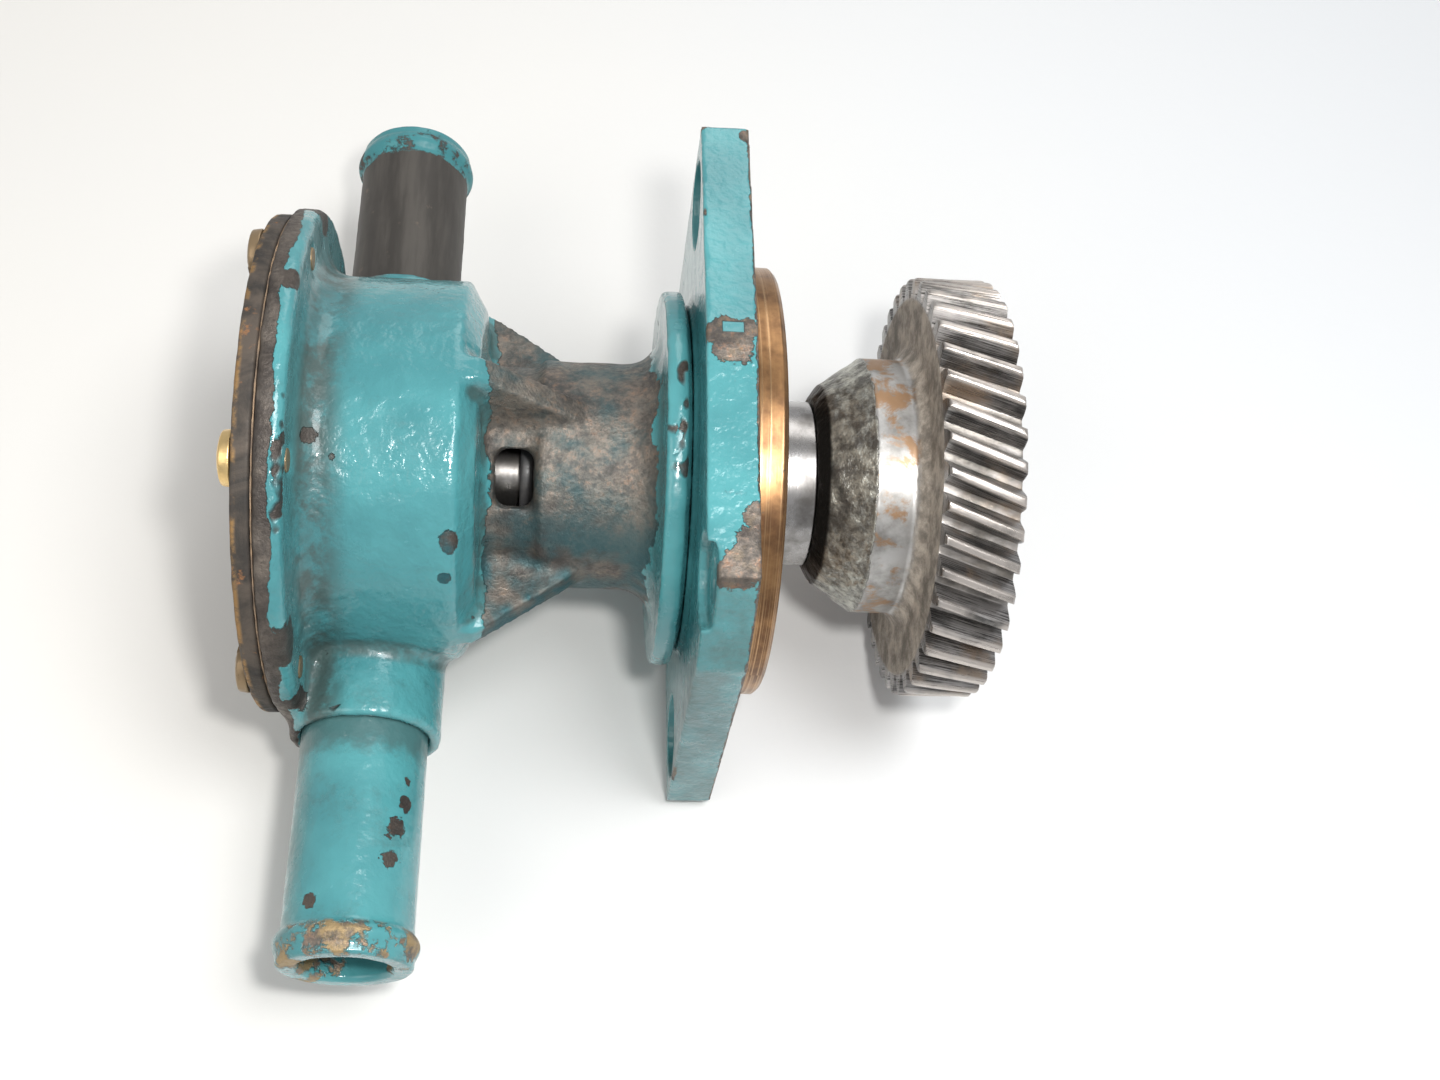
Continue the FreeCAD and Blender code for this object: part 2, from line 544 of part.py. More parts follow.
def pump_shaft():
    body = new_body("pump_shaft")
    revolve(body, "shaft_turned", [
        ("-shaft_start", "0"), ("-shaft_start", "impeller_shaft_rad - shaft_chamfer"),
        ("-shaft_start + shaft_chamfer", "impeller_shaft_rad"), ("-shaft_step", "impeller_shaft_rad"),
        ("-shaft_step", "seal_shaft_rad"),
        ("inner_bearing_wide - inner_bearing_at", "seal_shaft_rad"),
        ("inner_bearing_wide - inner_bearing_at", "shoulder_rad"),
        ("-outer_bearing_at", "shoulder_rad"), ("-outer_bearing_at", "outer_bearing_bore_rad"),
        ("outer_bearing_wide - outer_bearing_at", "outer_bearing_bore_rad"),
        ("outer_bearing_wide - outer_bearing_at", "gear_shaft_rad"),
        ("thread_start", "gear_shaft_rad"), ("thread_start", "thread_rad"),
        ("shaft_end - shaft_chamfer", "thread_rad"), ("shaft_end", "thread_rad - shaft_chamfer"),
        ("shaft_end", "0")])
    slot = slot_sketch(body, "impeller_slot", "impeller_key_low", "-impeller_key_start",
                       "-impeller_key_end", "impeller_key_half")
    cut(body, "impeller_keyway", slot, "gear_shaft_rad", reverse=True)
    slot = slot_sketch(body, "gear_slot", "gear_key_low", "gear_key_start", "gear_key_end", "gear_key_half")
    cut(body, "gear_keyway", slot, "gear_shaft_rad", reverse=True)


def key(label, left, right, half, low, high):
    bar = doc.addObject("Part::Box", label)
    bar.setExpression("Length", full("%s - ( %s )" % (right, left)))
    bar.setExpression("Width", full("2 * " + half))
    bar.setExpression("Height", full("%s - %s" % (high, low)))
    bar.Placement = FreeCAD.Placement(V(size(left), -size(half), size(low)), FreeCAD.Rotation())
    node(bar, label)


def impeller_insert():
    body = new_body("impeller_insert")
    revolve(body, "insert_turned", [
        ("-insert_front", "impeller_shaft_rad"), ("-impeller_back", "impeller_shaft_rad"),
        ("-impeller_back", "insert_rad"), ("-insert_front", "insert_rad")])
    slot = slot_sketch(body, "insert_slot", "insert_slot_low", "-impeller_key_start",
                       "-impeller_key_end", "impeller_key_half")
    cut(body, "insert_keyway", slot, "impeller_key_high - insert_slot_low", reverse=True)


def wall_reach(angle):
    """Distance from the shaft to what a vane tip touches: the chamber, or the cam's flat."""
    reach = size("vane_tip_rad")
    drop = -math.sin(angle)
    if drop <= 0:
        return reach
    return min(reach, size("wiped_rad") / drop)


def vane(angle):
    """One vane of the impeller, bent back towards its tip by the wall it wipes."""
    root = size("vane_root_rad")
    half = size("vane_thick") / 2
    bulb = size("vane_bulb_rad")
    squeeze = size("vane_tip_rad") - wall_reach(angle + math.radians(size("vane_lag")))
    lag = math.radians(size("vane_lag") + size("vane_lag_per_mm") * squeeze)
    reach = wall_reach(angle + lag) - bulb
    middle = []
    for i in range(VANE_STEPS + 1):
        part = i / VANE_STEPS
        radius = root + (reach - root) * part
        turn = angle + lag * part ** 2
        middle.append(V(0, radius * math.cos(turn), radius * math.sin(turn)))
    sides = {1: [], -1: []}
    for i, spot in enumerate(middle):
        ahead = middle[min(i + 1, VANE_STEPS)] - middle[max(i - 1, 0)]
        across = V(0, -ahead.z, ahead.y).normalize()
        for side in sides:
            sides[side].append(spot + across * (side * half))
    edges = [Part.BSplineCurve() for _ in sides]
    for curve, side in zip(edges, (1, -1)):
        curve.interpolate(sides[side])
    closing = [Part.LineSegment(sides[1][0], sides[-1][0]), Part.LineSegment(sides[1][-1], sides[-1][-1])]
    outline = Part.Wire(Part.__sortEdges__([item.toShape() for item in edges + closing]))
    long = size("impeller_front - impeller_back")
    blade = Part.Face(outline).extrude(V(long, 0, 0))
    tip = Part.makeCylinder(bulb, long, middle[-1], X_AXIS)
    return blade.fuse(tip)


def impeller_rubber():
    long = size("impeller_front - impeller_back")
    hub = Part.makeCylinder(size("rubber_hub_rad"), long, ORIGIN, X_AXIS)
    count = int(size("vane_count"))
    vanes = [vane(math.pi * (2 * i + 1) / count) for i in range(count)]
    rubber = hub.fuse(vanes).removeSplitter()
    rubber = rubber.cut(Part.makeCylinder(size("insert_rad"), long, ORIGIN, X_AXIS))
    rubber.translate(V(-size("impeller_front"), 0, 0))
    made_shape("impeller_rubber", rubber)


def involute(base, radius):
    """Angle that an involute has turned through at a radius."""
    rise = math.sqrt(max((radius / base) ** 2 - 1.0, 0.0))
    return rise - math.atan(rise)


def tooth_section(x, turn):
    """The closed outline of all the teeth in the plane x, turned by an angle."""
    teeth = int(size("tooth_count"))
    helix = math.radians(size("helix_angle"))
    module = size("normal_module")
    pitch = teeth * module / math.cos(helix) / 2
    pressure = math.atan(math.tan(math.radians(size("pressure_angle"))) / math.cos(helix))
    base = pitch * math.cos(pressure)
    tip = pitch + module
    root = pitch - size("dedendum_share") * module
    half = math.pi / (2 * teeth) - size("tooth_gap") / (2 * pitch)

    def spot(radius, angle):
        return V(x, radius * math.cos(angle), radius * math.sin(angle))

    def flank_angle(radius):
        return half + involute(base, pitch) - involute(base, max(radius, base))

    radii = [root + (tip - root) * step / FLANK_STEPS for step in range(FLANK_STEPS + 1)]
    edges = []
    for i in range(teeth):
        mid = turn + 2 * math.pi * i / teeth
        nearer = mid + 2 * math.pi / teeth
        rise = [spot(r, mid - flank_angle(r)) for r in radii]
        fall = [spot(r, mid + flank_angle(r)) for r in reversed(radii)]
        following = spot(root, nearer - flank_angle(root))
        for points in (rise, fall):
            curve = Part.BSplineCurve()
            curve.interpolate(points)
            edges.append(curve.toShape())
        edges.append(Part.Arc(rise[-1], spot(tip, mid), fall[0]).toShape())
        edges.append(Part.Arc(fall[-1], spot(root, mid + math.pi / teeth), following).toShape())
    return Part.Wire(Part.__sortEdges__(edges))


def drive_gear():
    """Helical gear with its conical hub: right-hand teeth lofted through three turned sections."""
    left = size("gear_left")
    right = size("gear_right")
    pitch = size("tooth_count") * size("normal_module") / math.cos(math.radians(size("helix_angle"))) / 2
    twist = math.tan(math.radians(size("helix_angle"))) / pitch
    middle = (left + right) / 2
    sections = [tooth_section(x, twist * (x - middle)) for x in (left, middle, right)]
    teeth = Part.makeLoft(sections, True, False)
    bore = size("gear_shaft_rad")
    outline = [("collar_end", bore), ("collar_end", size("hub_nose_rad")),
               ("hub_mouth_at", size("hub_mouth_rad")), ("hub_cone_end", size("hub_rad")),
               ("hub_end", size("hub_rad")), ("gear_left", size("web_rad")),
               ("gear_left", size("web_inside_rad")), ("web_right", size("web_inside_rad")),
               ("web_right", bore)]
    points = [V(size(x), rad, 0) for x, rad in outline]
    hub = Part.Face(Part.makePolygon(points + points[:1])).revolve(ORIGIN, X_AXIS, 360)
    hollow = [V(size("web_right"), 0, 0), V(size("web_right"), size("web_right_rad"), 0),
              V(right, size("rim_inside_rad"), 0), V(right, 0, 0)]
    recess = Part.Face(Part.makePolygon(hollow + hollow[:1])).revolve(ORIGIN, X_AXIS, 360)
    inside = Part.makeCylinder(bore, right, ORIGIN, X_AXIS)
    gear = teeth.fuse(hub).cut(recess).cut(inside)
    keyway = Part.makeBox(size("web_right - collar_end"), 2 * size("gear_key_half"), size("gear_key_high"),
                          V(size("collar_end"), -size("gear_key_half"), 0))
    made_shape("drive_gear", gear.cut(keyway).removeSplitter())


def gear_nut():
    nut = doc.addObject("Part::Prism", "gear_nut_blank")
    nut.Polygon = 6
    nut.setExpression("Circumradius", full("nut_flats / 2") + " / cos(30)")
    nut.setExpression("Height", full("nut_high"))
    hole = doc.addObject("Part::Cylinder", "gear_nut_thread")
    hole.setExpression("Radius", full("thread_rad"))
    hole.setExpression("Height", full("nut_high"))
    for part in (nut, hole):
        part.Placement = place_x(size("web_right + washer_thick"))
    ring = doc.addObject("Part::Cut", "gear_nut")
    ring.Base = nut
    ring.Tool = hole
    node(ring, "gear_nut")


def build():
    fill_sheet()
    pump_housing()
    drilled_disc("end_cover", "-rim_face - gasket_thick - cover_thick", "-rim_face - gasket_thick",
                 None, "cover_rad", "screw_hole_rad", "edge_round")
    drilled_disc("cover_gasket", "-rim_face - gasket_thick", "-rim_face", "gasket_hole_rad",
                 "cover_rad", "screw_hole_rad")
    cover_screws()
    hose_tube("inlet_tube", 0)
    hose_tube("outlet_tube", 180)
    tube_ring("wear_plate", "-chamber_back - wear_plate_thick", "-chamber_back",
              "wear_plate_hole_rad", "chamber_rad")
    cam()
    cam_fasteners()
    lip_seal("water_seal", "water_seal_at", -1)
    lip_seal("oil_seal", "oil_seal_at", 1)
    ball_bearing("inner")
    ball_bearing("outer")
    bearing_circlip()
    pump_shaft()
    impeller_insert()
    impeller_rubber()
    key("impeller_key", "-impeller_key_start", "-impeller_key_end", "impeller_key_half",
        "impeller_key_low", "impeller_key_high")
    tube_ring("slinger_ring", "-slinger_at", "-slinger_at + slinger_wide", "seal_shaft_rad", "slinger_rad")
    tube_ring("gear_spacer", "outer_bearing_wide - outer_bearing_at", "collar_end",
              "gear_shaft_rad", "collar_rad")
    drive_gear()
    key("gear_key", "gear_key_start", "gear_key_end", "gear_key_half", "gear_key_low", "gear_key_high")
    tube_ring("gear_washer", "web_right", "web_right + washer_thick", "thread_rad", "washer_rad")
    gear_nut()


def check_and_export():
    doc.recompute()
    for thing in doc.Objects:
        faults = [state for state in thing.State if state in ("Invalid", "Error")]
        assert not faults, "%s: %s" % (thing.Label, faults)
    os.makedirs("parts", exist_ok=True)
    for thing in nodes:
        shape = thing.Shape
        assert not shape.isNull() and shape.isValid(), thing.Label
        shape.exportStep("parts/%s.step" % thing.Label)
        box = shape.optimalBoundingBox()
        print("%-26s solids %2d  volume %10.1f  x %7.1f %7.1f  y %7.1f %7.1f  z %7.1f %7.1f" % (
            thing.Label, len(shape.Solids), shape.Volume, box.XMin, box.XMax, box.YMin, box.YMax,
            box.ZMin, box.ZMax))


build()
check_and_export()
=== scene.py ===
import json
import math
import bmesh
import bpy
import numpy as np
from mathutils import Matrix, Vector, noise

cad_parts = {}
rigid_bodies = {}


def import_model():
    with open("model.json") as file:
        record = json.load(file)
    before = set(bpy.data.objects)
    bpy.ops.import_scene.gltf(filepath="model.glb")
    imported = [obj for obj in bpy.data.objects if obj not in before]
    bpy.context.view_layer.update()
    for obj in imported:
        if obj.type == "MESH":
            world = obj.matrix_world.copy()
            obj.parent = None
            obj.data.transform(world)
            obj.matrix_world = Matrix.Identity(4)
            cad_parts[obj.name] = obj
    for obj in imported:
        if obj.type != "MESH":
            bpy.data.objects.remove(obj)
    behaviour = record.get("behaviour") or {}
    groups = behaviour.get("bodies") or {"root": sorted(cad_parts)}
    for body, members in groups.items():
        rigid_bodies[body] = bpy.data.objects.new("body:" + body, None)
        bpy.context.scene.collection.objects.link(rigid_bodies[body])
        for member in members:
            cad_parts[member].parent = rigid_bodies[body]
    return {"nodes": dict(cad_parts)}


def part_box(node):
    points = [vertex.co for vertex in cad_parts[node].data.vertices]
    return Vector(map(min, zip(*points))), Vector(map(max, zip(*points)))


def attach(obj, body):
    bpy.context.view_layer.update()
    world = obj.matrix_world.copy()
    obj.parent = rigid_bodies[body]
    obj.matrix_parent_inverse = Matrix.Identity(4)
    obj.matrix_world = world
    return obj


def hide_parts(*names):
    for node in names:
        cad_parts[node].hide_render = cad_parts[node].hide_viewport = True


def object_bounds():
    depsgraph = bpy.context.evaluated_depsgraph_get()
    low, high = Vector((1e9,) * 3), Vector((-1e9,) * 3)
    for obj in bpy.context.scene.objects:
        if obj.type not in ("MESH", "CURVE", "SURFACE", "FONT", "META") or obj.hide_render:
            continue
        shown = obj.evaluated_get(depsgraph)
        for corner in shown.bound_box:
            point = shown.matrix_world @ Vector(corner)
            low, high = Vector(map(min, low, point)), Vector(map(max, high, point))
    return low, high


MM = 0.001

for leftover in list(bpy.data.objects):
    bpy.data.objects.remove(leftover, do_unlink=True)
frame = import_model()
cad_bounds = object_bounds()


# ---------------------------------------------------------------- materials

class Finish:
    """One procedural material, built socket by socket."""

    def __init__(self, name):
        self.material = bpy.data.materials.new(name)
        self.material.use_nodes = True
        self.tree = self.material.node_tree
        self.tree.nodes.clear()
        self.shader = self.tree.nodes.new("ShaderNodeBsdfPrincipled")
        output = self.tree.nodes.new("ShaderNodeOutputMaterial")
        self.tree.links.new(self.shader.outputs["BSDF"], output.inputs["Surface"])
        self.place = self.tree.nodes.new("ShaderNodeTexCoord").outputs["Object"]
        split = self.tree.nodes.new("ShaderNodeSeparateXYZ")
        self.feed(split.inputs[0], self.place)
        self.x, self.y, self.z = split.outputs

    def feed(self, socket, value):
        """Gives a socket a value, or links another socket to it."""
        if isinstance(value, bpy.types.NodeSocket):
            self.tree.links.new(value, socket)
        elif isinstance(value, tuple) and len(value) == 3 and socket.type == "RGBA":
            socket.default_value = (*value, 1.0)
        else:
            socket.default_value = value

    def math(self, operation, first, second=0.0):
        node = self.tree.nodes.new("ShaderNodeMath")
        node.operation = operation
        self.feed(node.inputs[0], first)
        self.feed(node.inputs[1], second)
        return node.outputs[0]

    def add(self, first, second):
        return self.math("ADD", first, second)

    def times(self, first, second):
        return self.math("MULTIPLY", first, second)

    def most(self, first, second):
        return self.math("MAXIMUM", first, second)

    def invert(self, value):
        return self.math("SUBTRACT", 1.0, value)

    def step(self, value, low, high):
        """0 below low, 1 above high, smooth between them; low may be above high."""
        node = self.tree.nodes.new("ShaderNodeMapRange")
        node.interpolation_type = "SMOOTHSTEP"
        self.feed(node.inputs["Value"], value)
        self.feed(node.inputs["From Min"], low)
        self.feed(node.inputs["From Max"], high)
        return node.outputs["Result"]

    def noise(self, scale, detail=4.0, rough=0.55, distort=0.0, place=None):
        node = self.tree.nodes.new("ShaderNodeTexNoise")
        self.feed(node.inputs["Vector"], place or self.place)
        self.feed(node.inputs["Scale"], scale)
        self.feed(node.inputs["Detail"], detail)
        self.feed(node.inputs["Roughness"], rough)
        self.feed(node.inputs["Distortion"], distort)
        return node.outputs["Fac"]

    def patches(self, scale, low, high, detail=6.0, rough=0.7):
        """Soft-edged patches, so many waves to the metre."""
        return self.step(self.noise(scale, detail, rough), low, high)

    def ragged(self, scale, width, detail=6.0, rough=0.7):
        """An uneven shift of up to half a width, in millimetres, either way."""
        return self.times(self.add(self.noise(scale, detail, rough), -0.5), width * MM)

    def past(self, axis, start, end):
        """0 at one place on an axis and 1 at another, both in millimetres."""
        return self.step(axis, start * MM, end * MM)

    def near(self, axis, place, reach, soft):
        """1 within a reach of a place on an axis, in millimetres."""
        away = self.math("ABSOLUTE", self.add(axis, -place * MM))
        return self.past(away, reach, reach - soft)

    def stretched(self, x, y, z):
        """The place coordinate scaled unevenly, for streaks and turning marks."""
        node = self.tree.nodes.new("ShaderNodeMapping")
        self.feed(node.inputs["Vector"], self.place)
        node.inputs["Scale"].default_value = (x, y, z)
        return node.outputs[0]

    def radius(self):
        """Distance from the shaft axis."""
        return self.math("SQRT", self.add(self.times(self.y, self.y), self.times(self.z, self.z)))

    def turned(self, x_scale, radius_scale, angle_scale):
        """A coordinate that follows a lathe: along the axis, outwards and round."""
        node = self.tree.nodes.new("ShaderNodeCombineXYZ")
        self.feed(node.inputs[0], self.times(self.x, x_scale))
        self.feed(node.inputs[1], self.times(self.radius(), radius_scale))
        self.feed(node.inputs[2], self.times(self.math("ARCTAN2", self.z, self.y), angle_scale))
        return node.outputs[0]

    def spot(self, centre, size, ragged=0.5):
        """1 inside a ragged patch about a point, 0 outside it."""
        node = self.tree.nodes.new("ShaderNodeVectorMath")
        node.operation = "DISTANCE"
        self.feed(node.inputs[0], self.place)
        node.inputs[1].default_value = tuple(v * MM for v in centre)
        edge = self.times(self.add(self.noise(420, 4.0, 0.65), -0.5), 2 * ragged * size * MM)
        return self.step(self.add(node.outputs["Value"], edge), size * MM, 0.9 * size * MM)

    def mix(self, share, first, second):
        node = self.tree.nodes.new("ShaderNodeMix")
        node.data_type = "RGBA"
        self.feed(node.inputs[0], share)
        self.feed(node.inputs[6], first)
        self.feed(node.inputs[7], second)
        return node.outputs[2]

    def blend(self, share, first, second):
        node = self.tree.nodes.new("ShaderNodeMix")
        self.feed(node.inputs[0], share)
        self.feed(node.inputs[2], first)
        self.feed(node.inputs[3], second)
        return node.outputs[0]

    def ramp(self, value, stops):
        """Straight lines through (value, number) stops; values in any unit."""
        low, high = stops[0][0], stops[-1][0]
        node = self.tree.nodes.new("ShaderNodeValToRGB")
        share = self.math("DIVIDE", self.add(value, -low), high - low)
        self.feed(node.inputs[0], share)
        ramp = node.color_ramp
        while len(ramp.elements) < len(stops):
            ramp.elements.new(0.5)
        for element, (at, amount) in zip(ramp.elements, stops):
            element.position = (at - low) / (high - low)
            element.color = (amount, amount, amount, 1.0)
        return node.outputs["Color"]

    def attribute(self, name):
        node = self.tree.nodes.new("ShaderNodeAttribute")
        node.attribute_name = name
        return node.outputs["Fac"]

    def pointy(self):
        return self.tree.nodes.new("ShaderNodeNewGeometry").outputs["Pointiness"]

    def bump(self, height, distance, below=None):
        """A bump of so many millimetres over another one."""
        node = self.tree.nodes.new("ShaderNodeBump")
        self.feed(node.inputs["Height"], height)
        self.feed(node.inputs["Distance"], distance * MM)
        if below is not None:
            self.feed(node.inputs["Normal"], below)
        return node.outputs["Normal"]

    def finish(self, colour, rough, metal=0.0, normal=None, coat=0.0, coat_rough=0.1, shine=0.5):
        self.feed(self.shader.inputs["Base Color"], colour)
        self.shader.inputs["Specular IOR Level"].default_value = shine
        self.feed(self.shader.inputs["Roughness"], rough)
        self.feed(self.shader.inputs["Metallic"], metal)
        self.feed(self.shader.inputs["Coat Weight"], coat)
        self.shader.inputs["Coat Roughness"].default_value = coat_rough
        if normal is not None:
            self.feed(self.shader.inputs["Normal"], normal)
        return self.material


# Colours, as red, green and blue shares of the light they send back.
TEAL = (0.050, 0.198, 0.214)
TEAL_LIGHT = (0.072, 0.270, 0.286)
TEAL_DARK = (0.026, 0.095, 0.108)
# Grey-brown for grime, and for the painted shade in hollows, corners and coves.
GRIME_AND_SHADE = (0.044, 0.052, 0.044)
BRONZE_BLACK = (0.042, 0.034, 0.030)
BRONZE_DARK = (0.078, 0.070, 0.064)
BRONZE_BROWN = (0.222, 0.188, 0.156)
BRONZE_ORANGE = (0.290, 0.155, 0.092)
BRONZE_WORN = (0.370, 0.265, 0.130)
TURNED_LIGHT = (0.500, 0.320, 0.170)
TURNED_BROWN = (0.340, 0.188, 0.085)
TURNED_DARK = (0.138, 0.071, 0.037)
TUBE_LIGHT = (0.086, 0.078, 0.069)
TUBE_DARK = (0.052, 0.047, 0.042)
TUBE_BROWN = (0.150, 0.115, 0.090)
COVER_LIGHT = (0.095, 0.078, 0.064)
COVER_DARK = (0.040, 0.037, 0.034)
COVER_ORANGE = (0.300, 0.140, 0.060)
COVER_EDGE = (0.460, 0.280, 0.120)
STEEL_LIGHT = (0.385, 0.372, 0.362)
STEEL_DARK = (0.142, 0.133, 0.124)
STEEL_RUST = (0.340, 0.160, 0.072)
HUB_LIGHT = (0.520, 0.510, 0.495)
HUB_DARK = (0.230, 0.220, 0.205)
HUB_RUST = (0.330, 0.190, 0.095)
FORGED_LIGHT = (0.560, 0.560, 0.500)
FORGED_DARK = (0.170, 0.165, 0.150)
# Painted shade at the cone's mouth, on its front face and chamfer.
CONE_MOUTH_SHADE = (0.040, 0.037, 0.033)
WEB_LIGHT = (0.520, 0.462, 0.395)
WEB_DARK = (0.190, 0.170, 0.145)
FLANK_LIGHT = (0.370, 0.352, 0.342)
FLANK_DARK = (0.085, 0.082, 0.078)
FLANK_BROWN = (0.300, 0.240, 0.190)
# Tips worn bright, with a painted highlight on them.
TIP_WORN_AND_HIGHLIT = (0.520, 0.472, 0.432)
BRASS_BRIGHT = (0.780, 0.560, 0.260)
BRASS_DULL = (0.620, 0.430, 0.200)
BRASS_GRIME = (0.150, 0.105, 0.070)
BRASS_DARK = (0.160, 0.120, 0.080)
# The table's colour with painted light: cream where warm light falls on the left, cooler white on the right.
TABLE_WARM_LIT = (0.72, 0.70, 0.665)
TABLE_COOL_LIT = (0.67, 0.68, 0.69)

# How bare the neck is, by place along the shaft in millimetres from the mounting face.
NECK_BARE = [(-61.0, 0.0), (-57.5, 0.0), (-54.0, 0.85), (-24.0, 1.0), (-19.6, 0.9), (-18.6, 0.0)]

# Chips as a place and a radius, both in millimetres.
CASTING_CHIPS = [
    ((-92.5, -25.0, 51.0), 2.2), ((-90.0, -18.0, 42.0), 2.4), ((-86.0, -21.0, 39.0), 1.2),
    ((-62.0, -34.0, 27.5), 2.6), ((-95.0, 10.0, 57.0), 3.0), ((-94.0, -54.0, 18.0), 6.0),
    ((-63.0, -38.0, 20.0), 1.5), ((-94.5, -57.0, -4.0), 4.0), ((-95.0, 44.0, 37.0), 6.0),
]
FLANGE_CHIPS = [
    ((-6.5, 2.2, 57.2), 3.4), ((-5.5, -1.5, 57.2), 4.6), ((-2.5, 2.5, 57.2), 2.8),
    ((-9.5, 1.0, 57.0), 2.6), ((-1.5, -45.0, 51.0), 4.8), ((-3.5, -49.5, 50.0), 4.8),
    ((-8.0, -51.5, 49.5), 3.6), ((-1.0, -39.0, 52.0), 3.0), ((-0.5, 57.0, 54.0), 2.0),
    ((-10.8, 59.8, 53.0), 2.0),
]
TUBE_CHIPS = [
    ((-72.5, -83.0, -10.5), 2.6), ((-70.5, -77.0, -11.5), 1.8), ((-73.5, -90.0, -10.0), 2.6),
    ((-71.0, -72.0, -12.0), 1.4), ((-88.0, -99.0, -8.0), 1.8),
]


def bare_bronze(f, stain, dim):
    """Colour and roughness of aged cast bronze; stain is how rusty, dim is where it is nearly black."""
    fine = f.noise(520, 5.0, 0.7)
    mottle = f.add(f.times(f.noise(70, 5.0, 0.6), 0.6), f.times(fine, 0.4))
    colour = f.mix(f.step(mottle, 0.38, 0.62), BRONZE_DARK, BRONZE_BROWN)
    colour = f.mix(f.times(f.step(fine, 0.5, 0.72), stain), colour, BRONZE_ORANGE)
    specks = f.patches(900, 0.56, 0.68, 3.0, 0.6)
    colour = f.mix(f.times(specks, 0.6), colour, BRONZE_DARK)
    colour = f.mix(dim, colour, BRONZE_BLACK)
    return colour, f.ramp(fine, [(0.3, 0.62), (0.7, 0.38)])


def cast_paint(f):
    """Colour, roughness and bump height of brushed paint over a cast skin."""
    lumps = f.add(f.noise(250, 2.0, 0.5, 0.3), f.times(f.noise(640, 2.0, 0.5), 0.45))
    grain = f.noise(1500, 2.0, 0.6)
    colour = f.mix(f.patches(38, 0.35, 0.7, 4.0, 0.55), TEAL, TEAL_LIGHT)
    colour = f.mix(f.patches(120, 0.62, 0.8), colour, TEAL_DARK)
    rough = f.ramp(f.noise(210, 4.0, 0.6), [(0.3, 0.14), (0.7, 0.30)])
    return colour, rough, f.add(f.times(lumps, 0.9), f.times(grain, 0.08))


def painted(f, bare, haze=0.0, dirt_and_shade=0.0, stain=0.5, worn=0.0, lumpy=1.0, dim=0.0):
    """Paint over bronze; bare is 1 where the paint is gone, haze is thin overspray on the metal,
    worn is where the metal is rubbed back to brass, lumpy is how cast the paint looks and dim is
    where the bare metal is nearly black."""
    metal_colour, metal_rough = bare_bronze(f, stain, dim)
    metal_colour = f.mix(worn, metal_colour, BRONZE_WORN)
    metal_colour = f.mix(haze, metal_colour, TEAL_DARK)
    colour, rough, height = cast_paint(f)
    # The paint darkens towards a grey-brown for grime, and for painted shade in hollows and corners.
    colour = f.mix(dirt_and_shade, colour, GRIME_AND_SHADE)
    paint_thick = 0.9
    grit = f.add(f.noise(900, 4.0, 0.7), f.times(f.noise(260, 3.0, 0.5), 0.8))
    mixed_height = f.blend(bare, f.add(f.times(height, lumpy), paint_thick), f.times(grit, 0.7))
    return f.finish(
        f.mix(bare, colour, metal_colour),
        f.blend(bare, f.add(rough, f.times(dirt_and_shade, 0.3)), metal_rough),
        metal=f.times(bare, 0.55),
        normal=f.bump(mixed_height, 0.5),
        coat=f.times(f.invert(bare), 0.35),
        coat_rough=0.08,
        shine=0.4)


def chips(f, rarity=0.64):
    """1 on the small chips and on some stretches of the edges; rarity is how seldom those come."""
    small = f.step(f.noise(150, 5.0, 0.62, 0.3), 0.745, 0.76)
    edges = f.add(f.attribute("wear"), f.times(f.add(f.noise(300, 5.0, 0.65), -0.5), 1.2))
    stretches = f.patches(48, rarity, rarity + 0.02, 3.0, 0.5)
    return f.most(small, f.times(f.step(edges, 0.72, 0.77), stretches))


def with_spots(f, bare, spots, ragged=0.5):
    """The bare share with ragged chips added at given places."""
    for centre, size in spots:
        bare = f.most(bare, f.spot(centre, size, ragged))
    return bare


def casting_bare(f):
    """Where the bearing neck and the front of the cover rim have no paint."""
    along = f.add(f.x, f.ragged(110, 9.0, 6.0, 0.65))
    share = f.ramp(along, [(place * MM, amount) for place, amount in NECK_BARE])
    neck = f.step(f.add(share, f.times(f.add(f.noise(95, 6.0, 0.7), -0.5), 0.9)), 0.47, 0.53)
    uneven = f.add(f.ragged(260, 2.6), f.ragged(55, 4.5, 3.0, 0.5))
    rim_front = f.past(f.add(f.x, uneven), -96.2, -96.4)
    return neck, rim_front


def casting_haze(f):
    """Thin overspray on the bare neck, heavier on its lower side, none on the rim."""
    cloud = f.times(f.patches(60, 0.42, 0.72, 5.0, 0.65), 0.75)
    below = f.times(f.past(f.y, -8.0, -32.0), f.patches(130, 0.35, 0.6, 5.0, 0.6))
    return f.times(f.most(cloud, below), f.past(f.x, -97.0, -80.0))


def casting_grime_and_shade(f):
    """Painted shade with grime in the inside corners and in the cove behind the rim, and grime in a few broad
    patches.
    """
    # Painted shade with grime in the inside corners, where the hollow attribute is high.
    cove = f.times(f.step(f.attribute("hollow"), 0.12, 0.6), f.patches(90, 0.30, 0.6, 5.0))
    # Painted shade with grime in the cove just behind the cover rim.
    behind_rim = f.times(f.past(f.x, -94.4, -92.2), f.past(f.x, -82.0, -89.5))
    dirt_and_shade = f.most(f.times(cove, 0.85), f.times(behind_rim, f.patches(75, 0.34, 0.56)))
    return f.most(dirt_and_shade, f.times(f.patches(42, 0.56, 0.78, 6.0, 0.72), 0.5))


